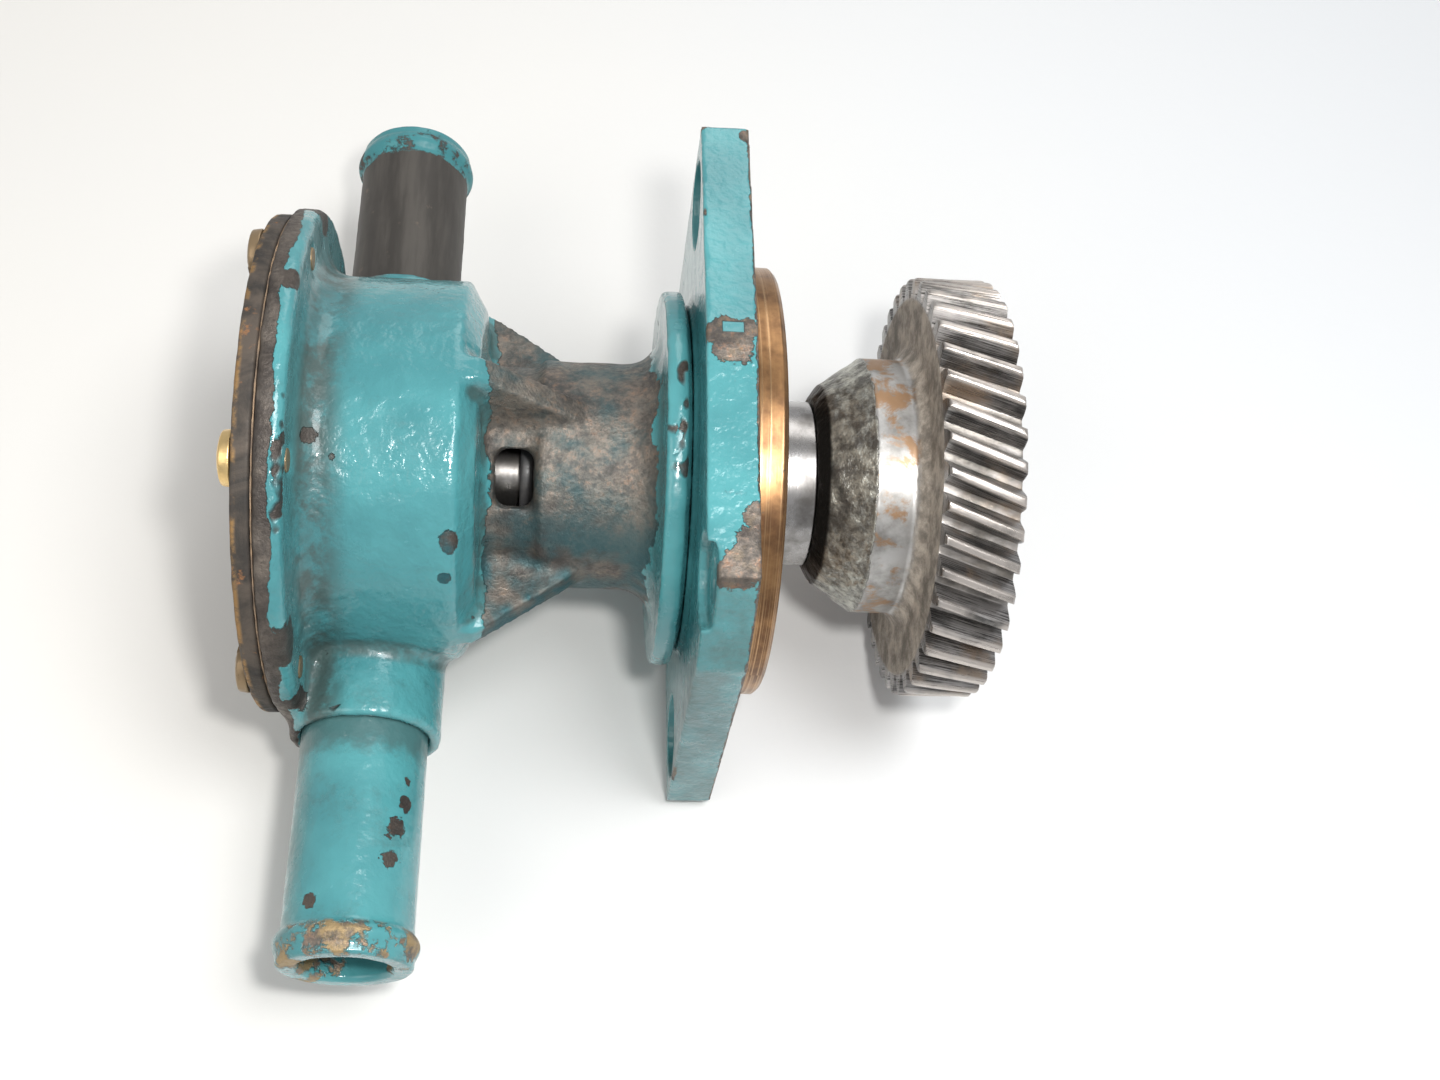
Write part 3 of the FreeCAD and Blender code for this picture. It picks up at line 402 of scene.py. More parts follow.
def casting_finish():
    f = Finish("painted_cast_bronze")
    neck, rim_front = casting_bare(f)
    bare = with_spots(f, f.most(f.most(neck, rim_front), chips(f)), CASTING_CHIPS)
    dark_rim = f.times(rim_front, f.patches(110, 0.6, 0.4, 5.0))
    smooth_ring = f.past(f.x, -22.0, -19.0)
    return painted(
        f, bare,
        haze=casting_haze(f),
        dirt_and_shade=f.times(casting_grime_and_shade(f), 0.85),
        stain=f.times(f.past(f.x, -97.0, -30.0), 0.5),
        lumpy=f.blend(smooth_ring, 1.0, 0.3),
        dim=f.times(f.invert(neck), f.blend(dark_rim, 0.75, 0.35)))


def flange_finish():
    """The plate's paint, with the small painted mark left in the chip on its top."""
    f = Finish("painted_flange")
    machined = f.past(f.add(f.x, f.ragged(330, 2.2)), -0.55, -0.35)
    mark = f.times(f.near(f.x, -5.2, 2.4, 0.3), f.near(f.y, 2.7, 1.5, 0.3))
    bare = with_spots(f, chips(f, 0.63), FLANGE_CHIPS, 0.7)
    bare = f.most(machined, f.times(bare, f.invert(mark)))
    # Painted shade with grime in the plate's inside corners, where the hollow attribute is high.
    cove = f.times(f.step(f.attribute("hollow"), 0.3, 0.9), f.patches(90, 0.35, 0.7, 5.0))
    # Darker towards the plate's lower end, below about -44 mm in y.
    lower_edge = f.times(f.past(f.y, -44.0, -58.0), f.patches(70, 0.25, 0.75))
    return painted(
        f, bare,
        dirt_and_shade=f.most(f.times(cove, 0.7), f.times(lower_edge, 0.75)),
        stain=0.9,
        worn=f.times(f.patches(300, 0.5, 0.65, 4.0, 0.6), 0.15),
        dim=f.times(f.patches(160, 0.45, 0.6, 5.0, 0.65), 0.5))


def lower_tube_finish():
    """Smooth paint with dark chips, grime towards the casting and a bead worn to brass."""
    f = Finish("painted_tube")
    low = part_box("inlet_tube")[0] / MM
    bead_end, joint = low.y + 7.5, low.y + 46.5
    rubbed = f.add(f.noise(130, 5.0, 0.65), f.times(f.z, 3.0))
    worn_bead = f.times(f.past(f.y, bead_end, bead_end - 1.2), f.step(rubbed, 0.43, 0.50))
    small = f.step(f.noise(140, 5.0, 0.6, 0.3), 0.72, 0.735)
    bare = with_spots(f, f.most(worn_bead, small), TUBE_CHIPS, 0.9)
    dirt_and_shade = f.times(f.patches(85, 0.5, 0.75), 0.45)
    near_joint = f.past(f.add(f.y, f.ragged(120, 14.0)), joint - 4.0, joint + 1.0)
    dirt_and_shade = f.most(dirt_and_shade, f.times(near_joint, 0.6))
    # Darker on the tube's left flank.
    left_side = f.past(f.x, low.x + 9.0, low.x + 1.0)
    dirt_and_shade = f.most(dirt_and_shade, f.times(left_side, f.times(f.patches(60, 0.35, 0.65, 5.0), 0.55)))
    return painted(
        f, bare,
        dirt_and_shade=dirt_and_shade,
        stain=0.6,
        worn=f.times(f.times(worn_bead, f.patches(210, 0.36, 0.58, 5.0, 0.65)), 0.85),
        lumpy=0.55,
        dim=f.times(f.invert(worn_bead), 0.7))


def upper_tube_finish():
    """Smooth brown bronze with faint streaks along it and some paint left on the bead."""
    f = Finish("bare_bronze_tube")
    streak = f.noise(1.0, 5.0, 0.6, 0.0, f.stretched(240, 30, 240))
    colour = f.mix(f.step(streak, 0.35, 0.7), TUBE_DARK, TUBE_LIGHT)
    colour = f.mix(f.patches(190, 0.64, 0.78, 5.0, 0.6), colour, TUBE_BROWN)
    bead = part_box("outlet_tube")[1].y / MM - 9.0
    paint_colour, paint_rough, height = cast_paint(f)
    on_bead = f.past(f.add(f.y, f.ragged(230, 5.0, 5.0, 0.65)), bead, bead + 0.6)
    paint = f.times(on_bead, f.patches(170, 0.60, 0.52))
    metal_rough = f.ramp(streak, [(0.3, 0.46), (0.7, 0.6)])
    return f.finish(
        f.mix(paint, colour, paint_colour),
        f.blend(paint, metal_rough, f.add(paint_rough, 0.1)),
        metal=f.times(f.invert(paint), 0.25),
        normal=f.bump(f.blend(paint, f.times(streak, 0.25), f.add(height, 0.5)), 0.22),
        shine=0.25)


def spigot_finish():
    """Bare bronze with fine turning marks."""
    f = Finish("turned_bronze")
    lines = f.noise(1.0, 3.0, 0.6, 0.0, f.turned(2600, 2600, 0.6))
    colour = f.mix(f.patches(75, 0.4, 0.68, 5.0, 0.65), TURNED_BROWN, TURNED_DARK)
    colour = f.mix(f.times(f.step(lines, 0.5, 0.62), 0.6), colour, TURNED_LIGHT)
    colour = f.mix(f.patches(260, 0.66, 0.78, 5.0), colour, BRONZE_DARK)
    return f.finish(colour, f.ramp(lines, [(0.3, 0.42), (0.7, 0.24)]), metal=0.92, normal=f.bump(lines, 0.05))


def cover_finish():
    """Dark patina that is rubbed bright along the outer corner."""
    f = Finish("patinated_cover")
    broad = f.noise(75, 6.0, 0.65, 0.5)
    fine = f.noise(480, 5.0, 0.7)
    colour = f.mix(f.step(broad, 0.38, 0.62), COVER_DARK, COVER_LIGHT)
    colour = f.mix(f.patches(150, 0.60, 0.70), colour, COVER_ORANGE)
    low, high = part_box("end_cover")
    out, front = high.y / MM, low.x / MM
    corner = f.times(f.past(f.radius(), out - 0.75, out - 0.15), f.past(f.x, front + 1.5, front + 0.7))
    glint = f.times(corner, f.patches(200, 0.42, 0.6, 5.0))
    return f.finish(
        f.mix(f.times(glint, 0.7), colour, COVER_EDGE),
        f.ramp(fine, [(0.3, 0.46), (0.7, 0.72)]),
        metal=f.blend(glint, 0.2, 0.95),
        normal=f.bump(f.add(f.times(fine, 0.6), f.times(broad, 0.8)), 0.3),
        shine=0.15)


def screw_finish(name, bright, dark, share, clean=None):
    """Brass with grime; clean is the place of the one screw that is still bright."""
    f = Finish(name)
    grime = f.patches(190, share, share + 0.16, 5.0, 0.65)
    if clean is not None:
        grime = f.most(grime, f.times(f.invert(f.spot(clean, 9.0, 0.0)), 0.85))
    return f.finish(
        f.mix(grime, bright, dark),
        f.ramp(f.noise(500, 4.0, 0.6), [(0.3, 0.24), (0.7, 0.5)]),
        metal=f.blend(grime, 1.0, 0.5),
        normal=f.bump(f.noise(1400, 3.0, 0.6), 0.05))


def polished_steel(name, rust=0.7, marks=1800):
    """Turned steel; rust is how seldom it is stained and marks is how fine its rings are."""
    f = Finish(name)
    rings = f.noise(1.0, 3.0, 0.6, 0.0, f.turned(marks, marks, 0.8))
    smudge = f.noise(110, 5.0, 0.6)
    colour = f.mix(f.step(smudge, 0.35, 0.7), STEEL_LIGHT, STEEL_DARK)
    colour = f.mix(f.patches(170, rust, rust + 0.1), colour, STEEL_RUST)
    rough = f.ramp(smudge, [(0.3, 0.20), (0.7, 0.36)])
    return f.finish(colour, rough, metal=0.95, normal=f.bump(rings, 0.035))


def tooth_colour(f, helical, tip):
    """Oily dark and rubbed flanks with tips worn bright and given a painted highlight; helical follows the
    cutter's marks.
    """
    wear = f.add(f.times(helical, 0.6), f.times(f.noise(90, 4.0, 0.6), 0.4))
    flank = f.mix(f.step(wear, 0.42, 0.6), FLANK_DARK, FLANK_LIGHT)
    flank = f.mix(f.patches(60, 0.50, 0.66, 5.0, 0.65), flank, FLANK_BROWN)
    # Tips worn bright with a painted highlight, kept off the front end of the teeth.
    bright = f.times(f.past(f.radius(), tip - 1.1, tip - 0.35), f.patches(60, 0.3, 0.55, 4.0, 0.6))
    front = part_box("drive_gear")[0].x / MM
    bright = f.times(bright, f.past(f.x, front + 21.0, front + 26.0))
    return f.mix(bright, flank, TIP_WORN_AND_HIGHLIT)


def gear_finish():
    """Forged cone with painted shade at its mouth, polished hub, mottled web and worn teeth with painted
    highlights on their tips, on one piece.
    """
    f = Finish("worn_gear_steel")
    low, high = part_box("drive_gear")
    front, tip = low.x / MM, high.y / MM
    along = f.add(f.x, f.ragged(420, 1.6, 4.0, 0.6))
    hub_start = front + 11.7
    forged = f.past(along, hub_start + 0.2, hub_start)
    # The cone's mouth, where painted shade goes.
    mouth = f.past(f.x, front + 2.9, front + 2.2)
    web = f.past(along, front + 20.3, front + 21.6)
    tooth = f.past(f.radius(), tip - 5.4, tip - 4.4)
    in_teeth = f.times(tooth, web)
    dull = f.times(web, f.invert(tooth))
    smudge = f.noise(110, 5.0, 0.6)
    helical = f.noise(1.0, 4.0, 0.6, 0.0, f.turned(90, 4000, 8.0))
    steel = f.mix(f.step(smudge, 0.35, 0.7), HUB_LIGHT, HUB_DARK)
    rust = f.step(f.add(f.noise(105, 6.0, 0.68, 0.4), f.times(f.y, 1.2)), 0.50, 0.60)
    steel = f.mix(f.times(rust, 0.85), steel, HUB_RUST)
    forged_colour = f.mix(f.patches(240, 0.4, 0.66), FORGED_DARK, FORGED_LIGHT)
    web_colour = f.mix(f.patches(150, 0.36, 0.68), WEB_DARK, WEB_LIGHT)
    colour = f.mix(forged, steel, forged_colour)
    # Painted shade at the cone's mouth.
    colour = f.mix(mouth, colour, CONE_MOUTH_SHADE)
    colour = f.mix(web, colour, web_colour)
    colour = f.mix(in_teeth, colour, tooth_colour(f, helical, tip))
    rough = f.blend(forged, f.ramp(smudge, [(0.3, 0.34), (0.7, 0.50)]), 0.38)
    rough = f.blend(web, rough, 0.66)
    rough = f.blend(in_teeth, rough, f.ramp(helical, [(0.3, 0.22), (0.7, 0.42)]))
    pitted = f.blend(in_teeth, f.most(forged, web), 0.12)
    height = f.times(f.noise(330, 5.0, 0.6), f.blend(pitted, 0.05, 1.0))
    marks = f.bump(f.times(helical, in_teeth), 0.07)
    return f.finish(colour, rough, metal=f.blend(dull, 0.85, 0.15), normal=f.bump(height, 0.55, marks),
                    coat_rough=0.2, shine=0.22)


def plain_finish(name, colour, other, rough, metal, scale=200, bump=0.06):
    """A mottled finish for the parts that are mostly hidden."""
    f = Finish(name)
    mottle = f.noise(scale, 5.0, 0.65)
    worn = f.noise(4 * scale, 4.0, 0.6)
    edge_colour = tuple(min(1.0, 1.6 * share + 0.02) for share in colour)
    shade_colour = f.mix(f.step(mottle, 0.35, 0.68), colour, other)
    shade_colour = f.mix(f.times(f.step(f.pointy(), 0.52, 0.56), 0.35), shade_colour, edge_colour)
    roughness = f.ramp(worn, [(0.3, max(0.05, rough - 0.1)), (0.7, rough + 0.12)])
    return f.finish(shade_colour, roughness, metal=metal, normal=f.bump(f.add(worn, mottle), bump))


def floor_finish():
    """A pale table with painted light: cream on the left where warm light falls, going to a cooler white on
    the right.
    """
    f = Finish("pale_table")
    uneven = f.times(f.add(f.noise(3.0, 4.0, 0.55), -0.5), 0.4)
    # Painted light: cream on the left going to a cooler white on the right.
    across = f.step(f.add(f.x, uneven), -0.25, 0.25)
    return f.finish(f.mix(across, TABLE_WARM_LIT, TABLE_COOL_LIT), 0.62, normal=f.bump(f.noise(120, 5.0, 0.6), 0.12))


# ------------------------------------------------------------------ meshes

def link_object(name, data):
    thing = bpy.data.objects.new(name, data)
    bpy.context.scene.collection.objects.link(thing)
    return thing


def shade(mesh, angle=35.0):
    """Smooth shading with the corners sharper than the angle left crisp."""
    work = bmesh.new()
    work.from_mesh(mesh)
    for face in work.faces:
        face.smooth = True
    limit = math.radians(angle)
    for edge in work.edges:
        edge.smooth = not (edge.is_manifold and edge.calc_face_angle(0.0) > limit)
    work.to_mesh(mesh)
    work.free()


def grid_mesh(name, rings, angle=35.0):
    """A closed skin through rings of equal point count; the last ring joins the first."""
    count, around = len(rings), len(rings[0])
    points = np.concatenate([np.asarray(ring) for ring in rings])
    faces = []
    for i in range(count):
        here, there = i * around, (i + 1) % count * around
        for k in range(around):
            after = (k + 1) % around
            faces.append((here + k, here + after, there + after, there + k))
    mesh = bpy.data.meshes.new(name)
    mesh.from_pydata(points.tolist(), [], faces)
    mesh.update()
    work = bmesh.new()
    work.from_mesh(mesh)
    bmesh.ops.recalc_face_normals(work, faces=work.faces)
    work.to_mesh(mesh)
    work.free()
    shade(mesh, angle)
    return mesh


def softened(points, size, steps=4):
    """A closed outline with each corner rounded off, over less than half of either side."""
    most = 0.42
    result = []
    count = len(points)
    for i, corner in enumerate(points):
        corner = np.array(corner, float)
        before = np.array(points[i - 1], float) - corner
        after = np.array(points[(i + 1) % count], float) - corner
        reach = min(size, most * np.linalg.norm(before), most * np.linalg.norm(after))
        start = corner + before / np.linalg.norm(before) * reach
        end = corner + after / np.linalg.norm(after) * reach
        for step in range(steps + 1):
            t = step / steps
            result.append(tuple((1 - t) ** 2 * start + 2 * t * (1 - t) * corner + t * t * end))
    return result


def divided(points, longest):
    """A closed outline with its long sides cut into shorter ones."""
    result = []
    for i, point in enumerate(points):
        here, there = np.array(point), np.array(points[(i + 1) % len(points)])
        pieces = max(1, int(np.linalg.norm(there - here) / longest))
        result += [tuple(here + (there - here) * k / pieces) for k in range(pieces)]
    return result


def round_angles(count):
    """So many even steps round the axis."""
    return np.linspace(0, 2 * math.pi, count, endpoint=False)


def rings_about_x(outline, angles):
    """Rings about the shaft axis for an outline of (x, radius) in millimetres."""
    cos, sin = np.cos(angles), np.sin(angles)
    return [np.c_[np.full_like(cos, x), r * cos, r * sin] * MM for x, r in outline]


def lathe(name, outline, corner=0.4, around=192, longest=4.0):
    """A turned ring or pin about the shaft axis, from (x, radius) in millimetres."""
    return grid_mesh(name, rings_about_x(divided(softened(outline, corner), longest), round_angles(around)))


def coordinates(mesh):
    values = np.empty(3 * len(mesh.vertices))
    mesh.vertices.foreach_get("co", values)
    return values.reshape(-1, 3)


def set_coordinates(mesh, values):
    mesh.vertices.foreach_set("co", values.ravel())
    mesh.update()


def normals(mesh):
    values = np.empty(3 * len(mesh.vertices))
    mesh.vertices.foreach_get("normal", values)
    return values.reshape(-1, 3)


def from_axis(points):
    """Distance of each point from the shaft axis."""
    return np.hypot(points[:, 1], points[:, 2])


def neighbour_mean(values, pairs, degree):
    """The mean of the values at the points that share an edge with each point."""
    total = np.empty_like(values)
    for k in range(values.shape[1]):
        total[:, k] = (np.bincount(pairs[:, 0], values[pairs[:, 1], k], len(values))
                       + np.bincount(pairs[:, 1], values[pairs[:, 0], k], len(values)))
    return total / degree[:, None]


def edge_pairs(mesh):
    """The two points of every edge, and how many edges meet at each point."""
    pairs = np.empty(2 * len(mesh.edges), int)
    mesh.edges.foreach_get("vertices", pairs)
    pairs = pairs.reshape(-1, 2)
    return pairs, np.bincount(pairs.ravel(), minlength=len(mesh.vertices)).astype(float)


def eased(values, pairs, degree, share):
    """Each point moved a share of the way to the mean of its neighbours."""
    return values + share * (neighbour_mean(values, pairs, degree) - values)


def relax(mesh, rounds):
    """Evens out the skin; each step back undoes the shrinking of the step before it."""
    step, step_back = 0.6, -0.62
    pairs, degree = edge_pairs(mesh)
    values = coordinates(mesh)
    for _ in range(rounds):
        for share in (step, step_back):
            values = eased(values, pairs, degree, share)
    set_coordinates(mesh, values)


def fractal(points, scale, octaves=3):
    """Noise from about -1 to 1 at each point, at so many waves per metre."""
    return np.array([noise.fractal(Vector(p * scale), 1.0, 2.1, octaves) for p in points])


def roughen(mesh, depth, scale, where=None):
    """Pushes the skin inwards by up to a depth in millimetres, like a cast or forged skin."""
    values = coordinates(mesh)
    amount = np.clip(0.5 + 0.6 * fractal(values, scale), 0, 1) * depth * MM
    if where is not None:
        amount = amount * where(values / MM)
    set_coordinates(mesh, values - normals(mesh) * amount[:, None])


def height_over_skin(mesh, rounds):
    """How far each point stands out of the smoothed skin about it, in millimetres."""
    pairs, degree = edge_pairs(mesh)
    values = coordinates(mesh)
    smooth = values
    for _ in range(rounds):
        smooth = eased(smooth, pairs, degree, 0.9)
    return np.einsum("ij,ij->i", values - smooth, normals(mesh)) / MM


def mark_edges(mesh):
    """Stores how far each point stands out of, or lies in, the skin about it."""
    rounds, full_per_mm = 7, 3.2
    out = height_over_skin(mesh, rounds) * full_per_mm
    for name, amount in (("wear", np.clip(out, 0, 1)), ("hollow", np.clip(-out, 0, 1))):
        layer = mesh.attributes.new(name, "FLOAT", "POINT")
        layer.data.foreach_set("value", amount.astype(np.float32))


def fill_creases(mesh, rounds):
    """Rounds the inside corners only, as a casting's fillets do."""
    find_rounds, spread_rounds, full_per_mm, strength = 5, 3, 6.0, 0.7
    pairs, degree = edge_pairs(mesh)
    share = np.clip(-height_over_skin(mesh, find_rounds) * full_per_mm, 0, 1)[:, None]
    for _ in range(spread_rounds):
        share = np.maximum(share, neighbour_mean(share, pairs, degree))
    values = coordinates(mesh)
    for _ in range(rounds):
        values = eased(values, pairs, degree, strength * share)
    set_coordinates(mesh, values)


def evaluated_mesh(thing, name):
    """The mesh of an object after its modifiers; the object goes."""
    bpy.context.view_layer.update()
    mesh = bpy.data.meshes.new_from_object(thing.evaluated_get(bpy.context.evaluated_depsgraph_get()))
    mesh.name = name
    bpy.data.objects.remove(thing, do_unlink=True)
    return mesh


def slab_of(node, left, right):
    """The part of a CAD node between two planes across the shaft, closed at its cuts."""
    work = bmesh.new()
    work.from_mesh(frame["nodes"][node].data)
    bmesh.ops.remove_doubles(work, verts=work.verts, dist=1e-6)
    for at, outwards in ((left, -1.0), (right, 1.0)):
        everything = list(work.verts) + list(work.edges) + list(work.faces)
        found = bmesh.ops.bisect_plane(work, geom=everything, plane_co=(at * MM, 0, 0),
                                       plane_no=(outwards, 0, 0), clear_outer=True)
        border = [item for item in found["geom_cut"] if isinstance(item, bmesh.types.BMEdge)]
        if border:
            bmesh.ops.triangle_fill(work, use_beauty=True, edges=border)
    bmesh.ops.recalc_face_normals(work, faces=work.faces)
    mesh = bpy.data.meshes.new(node + "_slab")
    work.to_mesh(mesh)
    work.free()
    return mesh


def cast_skin(name, node, left, right, voxel, rounds, depth, creases):
    """A finely divided copy of part of a casting, with the soft corners of a casting."""
    cast_waves, crisp_angle = 170, 80
    thing = link_object(name, slab_of(node, left, right))
    remesh = thing.modifiers.new("skin", "REMESH")
    remesh.mode = "VOXEL"
    remesh.voxel_size = voxel * MM
    mesh = evaluated_mesh(thing, name)
    relax(mesh, rounds)
    fill_creases(mesh, creases)
    mark_edges(mesh)
    roughen(mesh, depth, cast_waves)
    shade(mesh, crisp_angle)
    return mesh


# ------------------------------------------------------------------ pieces
# Sizes in millimetres. An outline is a list of (place along the shaft, radius).

# The smallest radius, where a turned outline closes on the shaft axis.
AXIS = 0.01
# The housing is cut a little behind its plate and a little in front of it, where the turned
# spigot begins; the first place lies beyond the cover end.
BEYOND_COVER = -200.0
BEHIND_PLATE = -11.9
BEFORE_PLATE = 0.4
SPIGOT_OUTLINE = [(0.0, 31.0), (0.0, 49.4), (0.7, 49.45), (0.8, 49.88), (6.2, 49.88), (7.2, 48.9),
                  (7.2, 47.0), (6.9, 46.7), (6.9, 34.2), (7.2, 33.9), (7.2, 31.0), (0.7, 31.0),
                  (0.7, 33.0), (0.05, 33.0)]

SCREW_COUNT = 6
HEAD_RADIUS = 5.9
SHANK_RADIUS = 2.5
SLOT_DEEP = 1.3
SLOT_WIDE = 1.5
SLOT_LONG = 14.0
# Angle of the first screw's slot and the turn from each to the next, in degrees.
FIRST_SLOT = 25.0
SLOT_TURN = 47.0
BRIGHT_SCREW = 2

TUBE_BORE = 9.5
TUBE_OUTSIDE = 14.0
# The bead and lip of a hose tube, as (distance back from the lip, radius).
BEAD_OUTLINE = [(8.6, 14.0), (7.3, 14.2), (6.2, 15.1), (4.9, 15.48), (3.4, 15.1), (2.2, 14.45), (0.5, 14.35),
                (0.0, 13.7), (0.0, 10.4), (0.9, 9.6)]

TEETH = 42
NORMAL_MODULE = 2.117
BACKLASH = 0.14
FACE_WIDTH = 17.0
FACE_STEPS = 12
HELIX = math.radians(20.0)
PRESSURE = math.atan(math.tan(math.radians(20.0)) / math.cos(HELIX))
PITCH = TEETH * NORMAL_MODULE / math.cos(HELIX) / 2
BASE = PITCH * math.cos(PRESSURE)
TIP = PITCH + NORMAL_MODULE
ROOT = PITCH - 1.25 * NORMAL_MODULE
TWIST = math.tan(HELIX) / PITCH
# Half angle added to the tooth, and height above its root, at the fillet.
ROOT_FILLET = [(0.0085, 0.0), (0.0025, 0.14)]
FLANK_HEIGHTS = [0.6, 1.3, 2.1, 2.9, 3.7]
# Share of the tip's half angle, and depth under the tip, at the worn tip.
TIP_ROUNDING = [(0.93, 0.12), (0.72, 0.02), (0.25, 0.0)]
FLANK_END = 0.38
# Distance from the end of the teeth, and depth lost there, at the chamfer.
TOOTH_CHAMFER = [(0.0, 0.9), (0.12, 0.45), (0.45, 0.12), (0.9, 0.0)]
GEAR_BODY = 44.0
GEAR_BORE = 14.0
RECESS_FLOOR = 46.0
CONE_LONG = 11.4
CONE_INSIDE = 19.5

THREAD_START = 46.5
THREAD_RADIUS = 10.0
THREAD_PITCH = 1.5
THREAD_DEEP = 0.9
THREAD_STEP = 0.2
THREAD_STEPS = 66


def add_piece(mesh, material, body, slot, *nodes):
    """Puts a finished mesh in the frame, on its body and in place of its CAD nodes."""
    mesh.materials.clear()
    mesh.materials.append(material)
    piece = link_object(mesh.name, mesh)
    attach(piece, body)
    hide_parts(*nodes)
    return piece


def castings():
    """The housing as a cast body, a cast plate and a turned spigot."""
    body = cast_skin("pump_casting", "pump_housing", BEYOND_COVER, BEHIND_PLATE,
                     voxel=0.93, rounds=3, depth=0.25, creases=14)
    add_piece(body, casting_finish(), "root", "painted_casting", "pump_housing")
    plate = cast_skin("mounting_flange", "pump_housing", BEHIND_PLATE, BEFORE_PLATE,
                      voxel=0.62, rounds=2, depth=0.12, creases=2)
    add_piece(plate, flange_finish(), "root", "painted_casting", "pump_housing")
    spigot = lathe("turned_spigot", SPIGOT_OUTLINE, corner=0.22, around=320, longest=3.0)
    add_piece(spigot, spigot_finish(), "root", "painted_casting", "pump_housing")


def cover():
    low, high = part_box("end_cover")
    left, right, out = low.x / MM, high.x / MM, high.y / MM
    outline = [(left, AXIS), (left, out), (right, out), (right, AXIS)]
    mesh = lathe("cover_plate", outline, corner=0.9, around=320, longest=1.2)
    roughen(mesh, 0.16, 240)
    add_piece(mesh, cover_finish(), "root", "cover_bronze", "end_cover")


def slotted_head(turn):
    """A cheese-head screw along X with a screwdriver slot across its domed head."""
    low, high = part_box("cover_screws")
    head, seat, end = low.x / MM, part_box("end_cover")[0].x / MM, high.x / MM
    outline = [(head, AXIS), (head + 0.12, 3.4), (head + 0.75, 5.6), (seat, HEAD_RADIUS),
               (seat, SHANK_RADIUS), (end, SHANK_RADIUS), (end, AXIS)]
    screw = link_object("screw", lathe("screw", outline, corner=0.45, around=72, longest=1.2))
    bpy.ops.mesh.primitive_cube_add(size=1.0, location=(head * MM, 0, 0))
    blade = bpy.context.object
    blade.scale = (2 * SLOT_DEEP * MM, SLOT_WIDE * MM, SLOT_LONG * MM)
    blade.rotation_euler = (turn, 0, 0)
    slot = screw.modifiers.new("slot", "BOOLEAN")
    slot.operation = "DIFFERENCE"
    slot.object = blade
    mesh = evaluated_mesh(screw, "screw")
    bpy.data.objects.remove(blade, do_unlink=True)
    return mesh


def cover_screw_set():
    """The cover screws as one piece, each slot left at its own angle."""
    low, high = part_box("cover_screws")
    reach = high.y / MM - HEAD_RADIUS
    work = bmesh.new()
    centres = []
    for i in range(SCREW_COUNT):
        angle = 2 * math.pi * i / SCREW_COUNT
        centres.append((reach * math.cos(angle), reach * math.sin(angle)))
        screw = slotted_head(math.radians(FIRST_SLOT + SLOT_TURN * i))
        screw.transform(Matrix.Translation((0, centres[i][0] * MM, centres[i][1] * MM)))
        work.from_mesh(screw)
    mesh = bpy.data.meshes.new("slotted_cover_screws")
    work.to_mesh(mesh)
    work.free()
    shade(mesh)
    clean = (low.x / MM + 2.0, *centres[BRIGHT_SCREW])
    brass = screw_finish("brass_screws", BRASS_BRIGHT, BRASS_GRIME, 0.56, clean)
    add_piece(mesh, brass, "root", "screw_brass", "cover_screws")


def hose_tube(name, node, direction, material, slot):
    """A hose tube along Y with its bead and thinned lip."""
    low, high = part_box(node)
    centre_x, centre_z = (low.x + high.x) / 2 / MM, (low.z + high.z) / 2 / MM
    near, far = (low.y, high.y) if direction > 0 else (-high.y, -low.y)
    start, end = near / MM, far / MM
    outline = [(start, TUBE_BORE), (start, TUBE_OUTSIDE)]
    outline += [(end - back, radius) for back, radius in BEAD_OUTLINE]
    angles = round_angles(192)
    rings = []
    for along, radius in divided(softened(outline, 0.5), 1.0):
        rings.append(np.c_[centre_x + radius * np.cos(angles), np.full_like(angles, direction * along),
                           centre_z + radius * np.sin(angles)] * MM)
    mesh = grid_mesh(name, rings)
    roughen(mesh, 0.14, 200)
    add_piece(mesh, material, "root", slot, node)


def involute(radius):
    slope = math.acos(min(1.0, BASE / radius))
    return math.tan(slope) - slope


def tooth_outline():
    """Angle and radius of each point round the whole gear, with worn tips and root fillets."""
    half = math.pi / (2 * TEETH) - BACKLASH / (2 * PITCH)

    def flank(radius):
        return half + involute(PITCH) - involute(max(radius, BASE))

    one_side = [(flank(ROOT) + wider, ROOT + height) for wider, height in ROOT_FILLET]
    radii = [ROOT + height for height in FLANK_HEIGHTS] + [TIP - FLANK_END]
    one_side += [(flank(radius), radius) for radius in radii]
    one_side += [(flank(TIP) * share, TIP - depth) for share, depth in TIP_ROUNDING]
    tooth = [(-angle, radius) for angle, radius in one_side] + one_side[::-1]
    points = [(2 * math.pi * i / TEETH + angle, radius) for i in range(TEETH) for angle, radius in tooth]
    return np.array(points).T


def tooth_rings(angles, radii, left, right):
    """Rings through the helical teeth from one end to the other."""
    middle, edge = (left + right) / 2, TOOTH_CHAMFER[-1][0]
    stride = (right - left - 2 * edge) / FACE_STEPS
    slices = [(left + back, cut) for back, cut in TOOTH_CHAMFER]
    slices += [(left + edge + k * stride, 0.0) for k in range(1, FACE_STEPS)]
    slices += [(right - back, cut) for back, cut in reversed(TOOTH_CHAMFER)]
    rings = []
    for x, cut in slices:
        turn = angles + TWIST * (x - middle)
        reach = np.minimum(radii, TIP - cut) - 0.12 * cut
        rings.append(np.c_[np.full_like(turn, x), reach * np.cos(turn), reach * np.sin(turn)] * MM)
    return rings


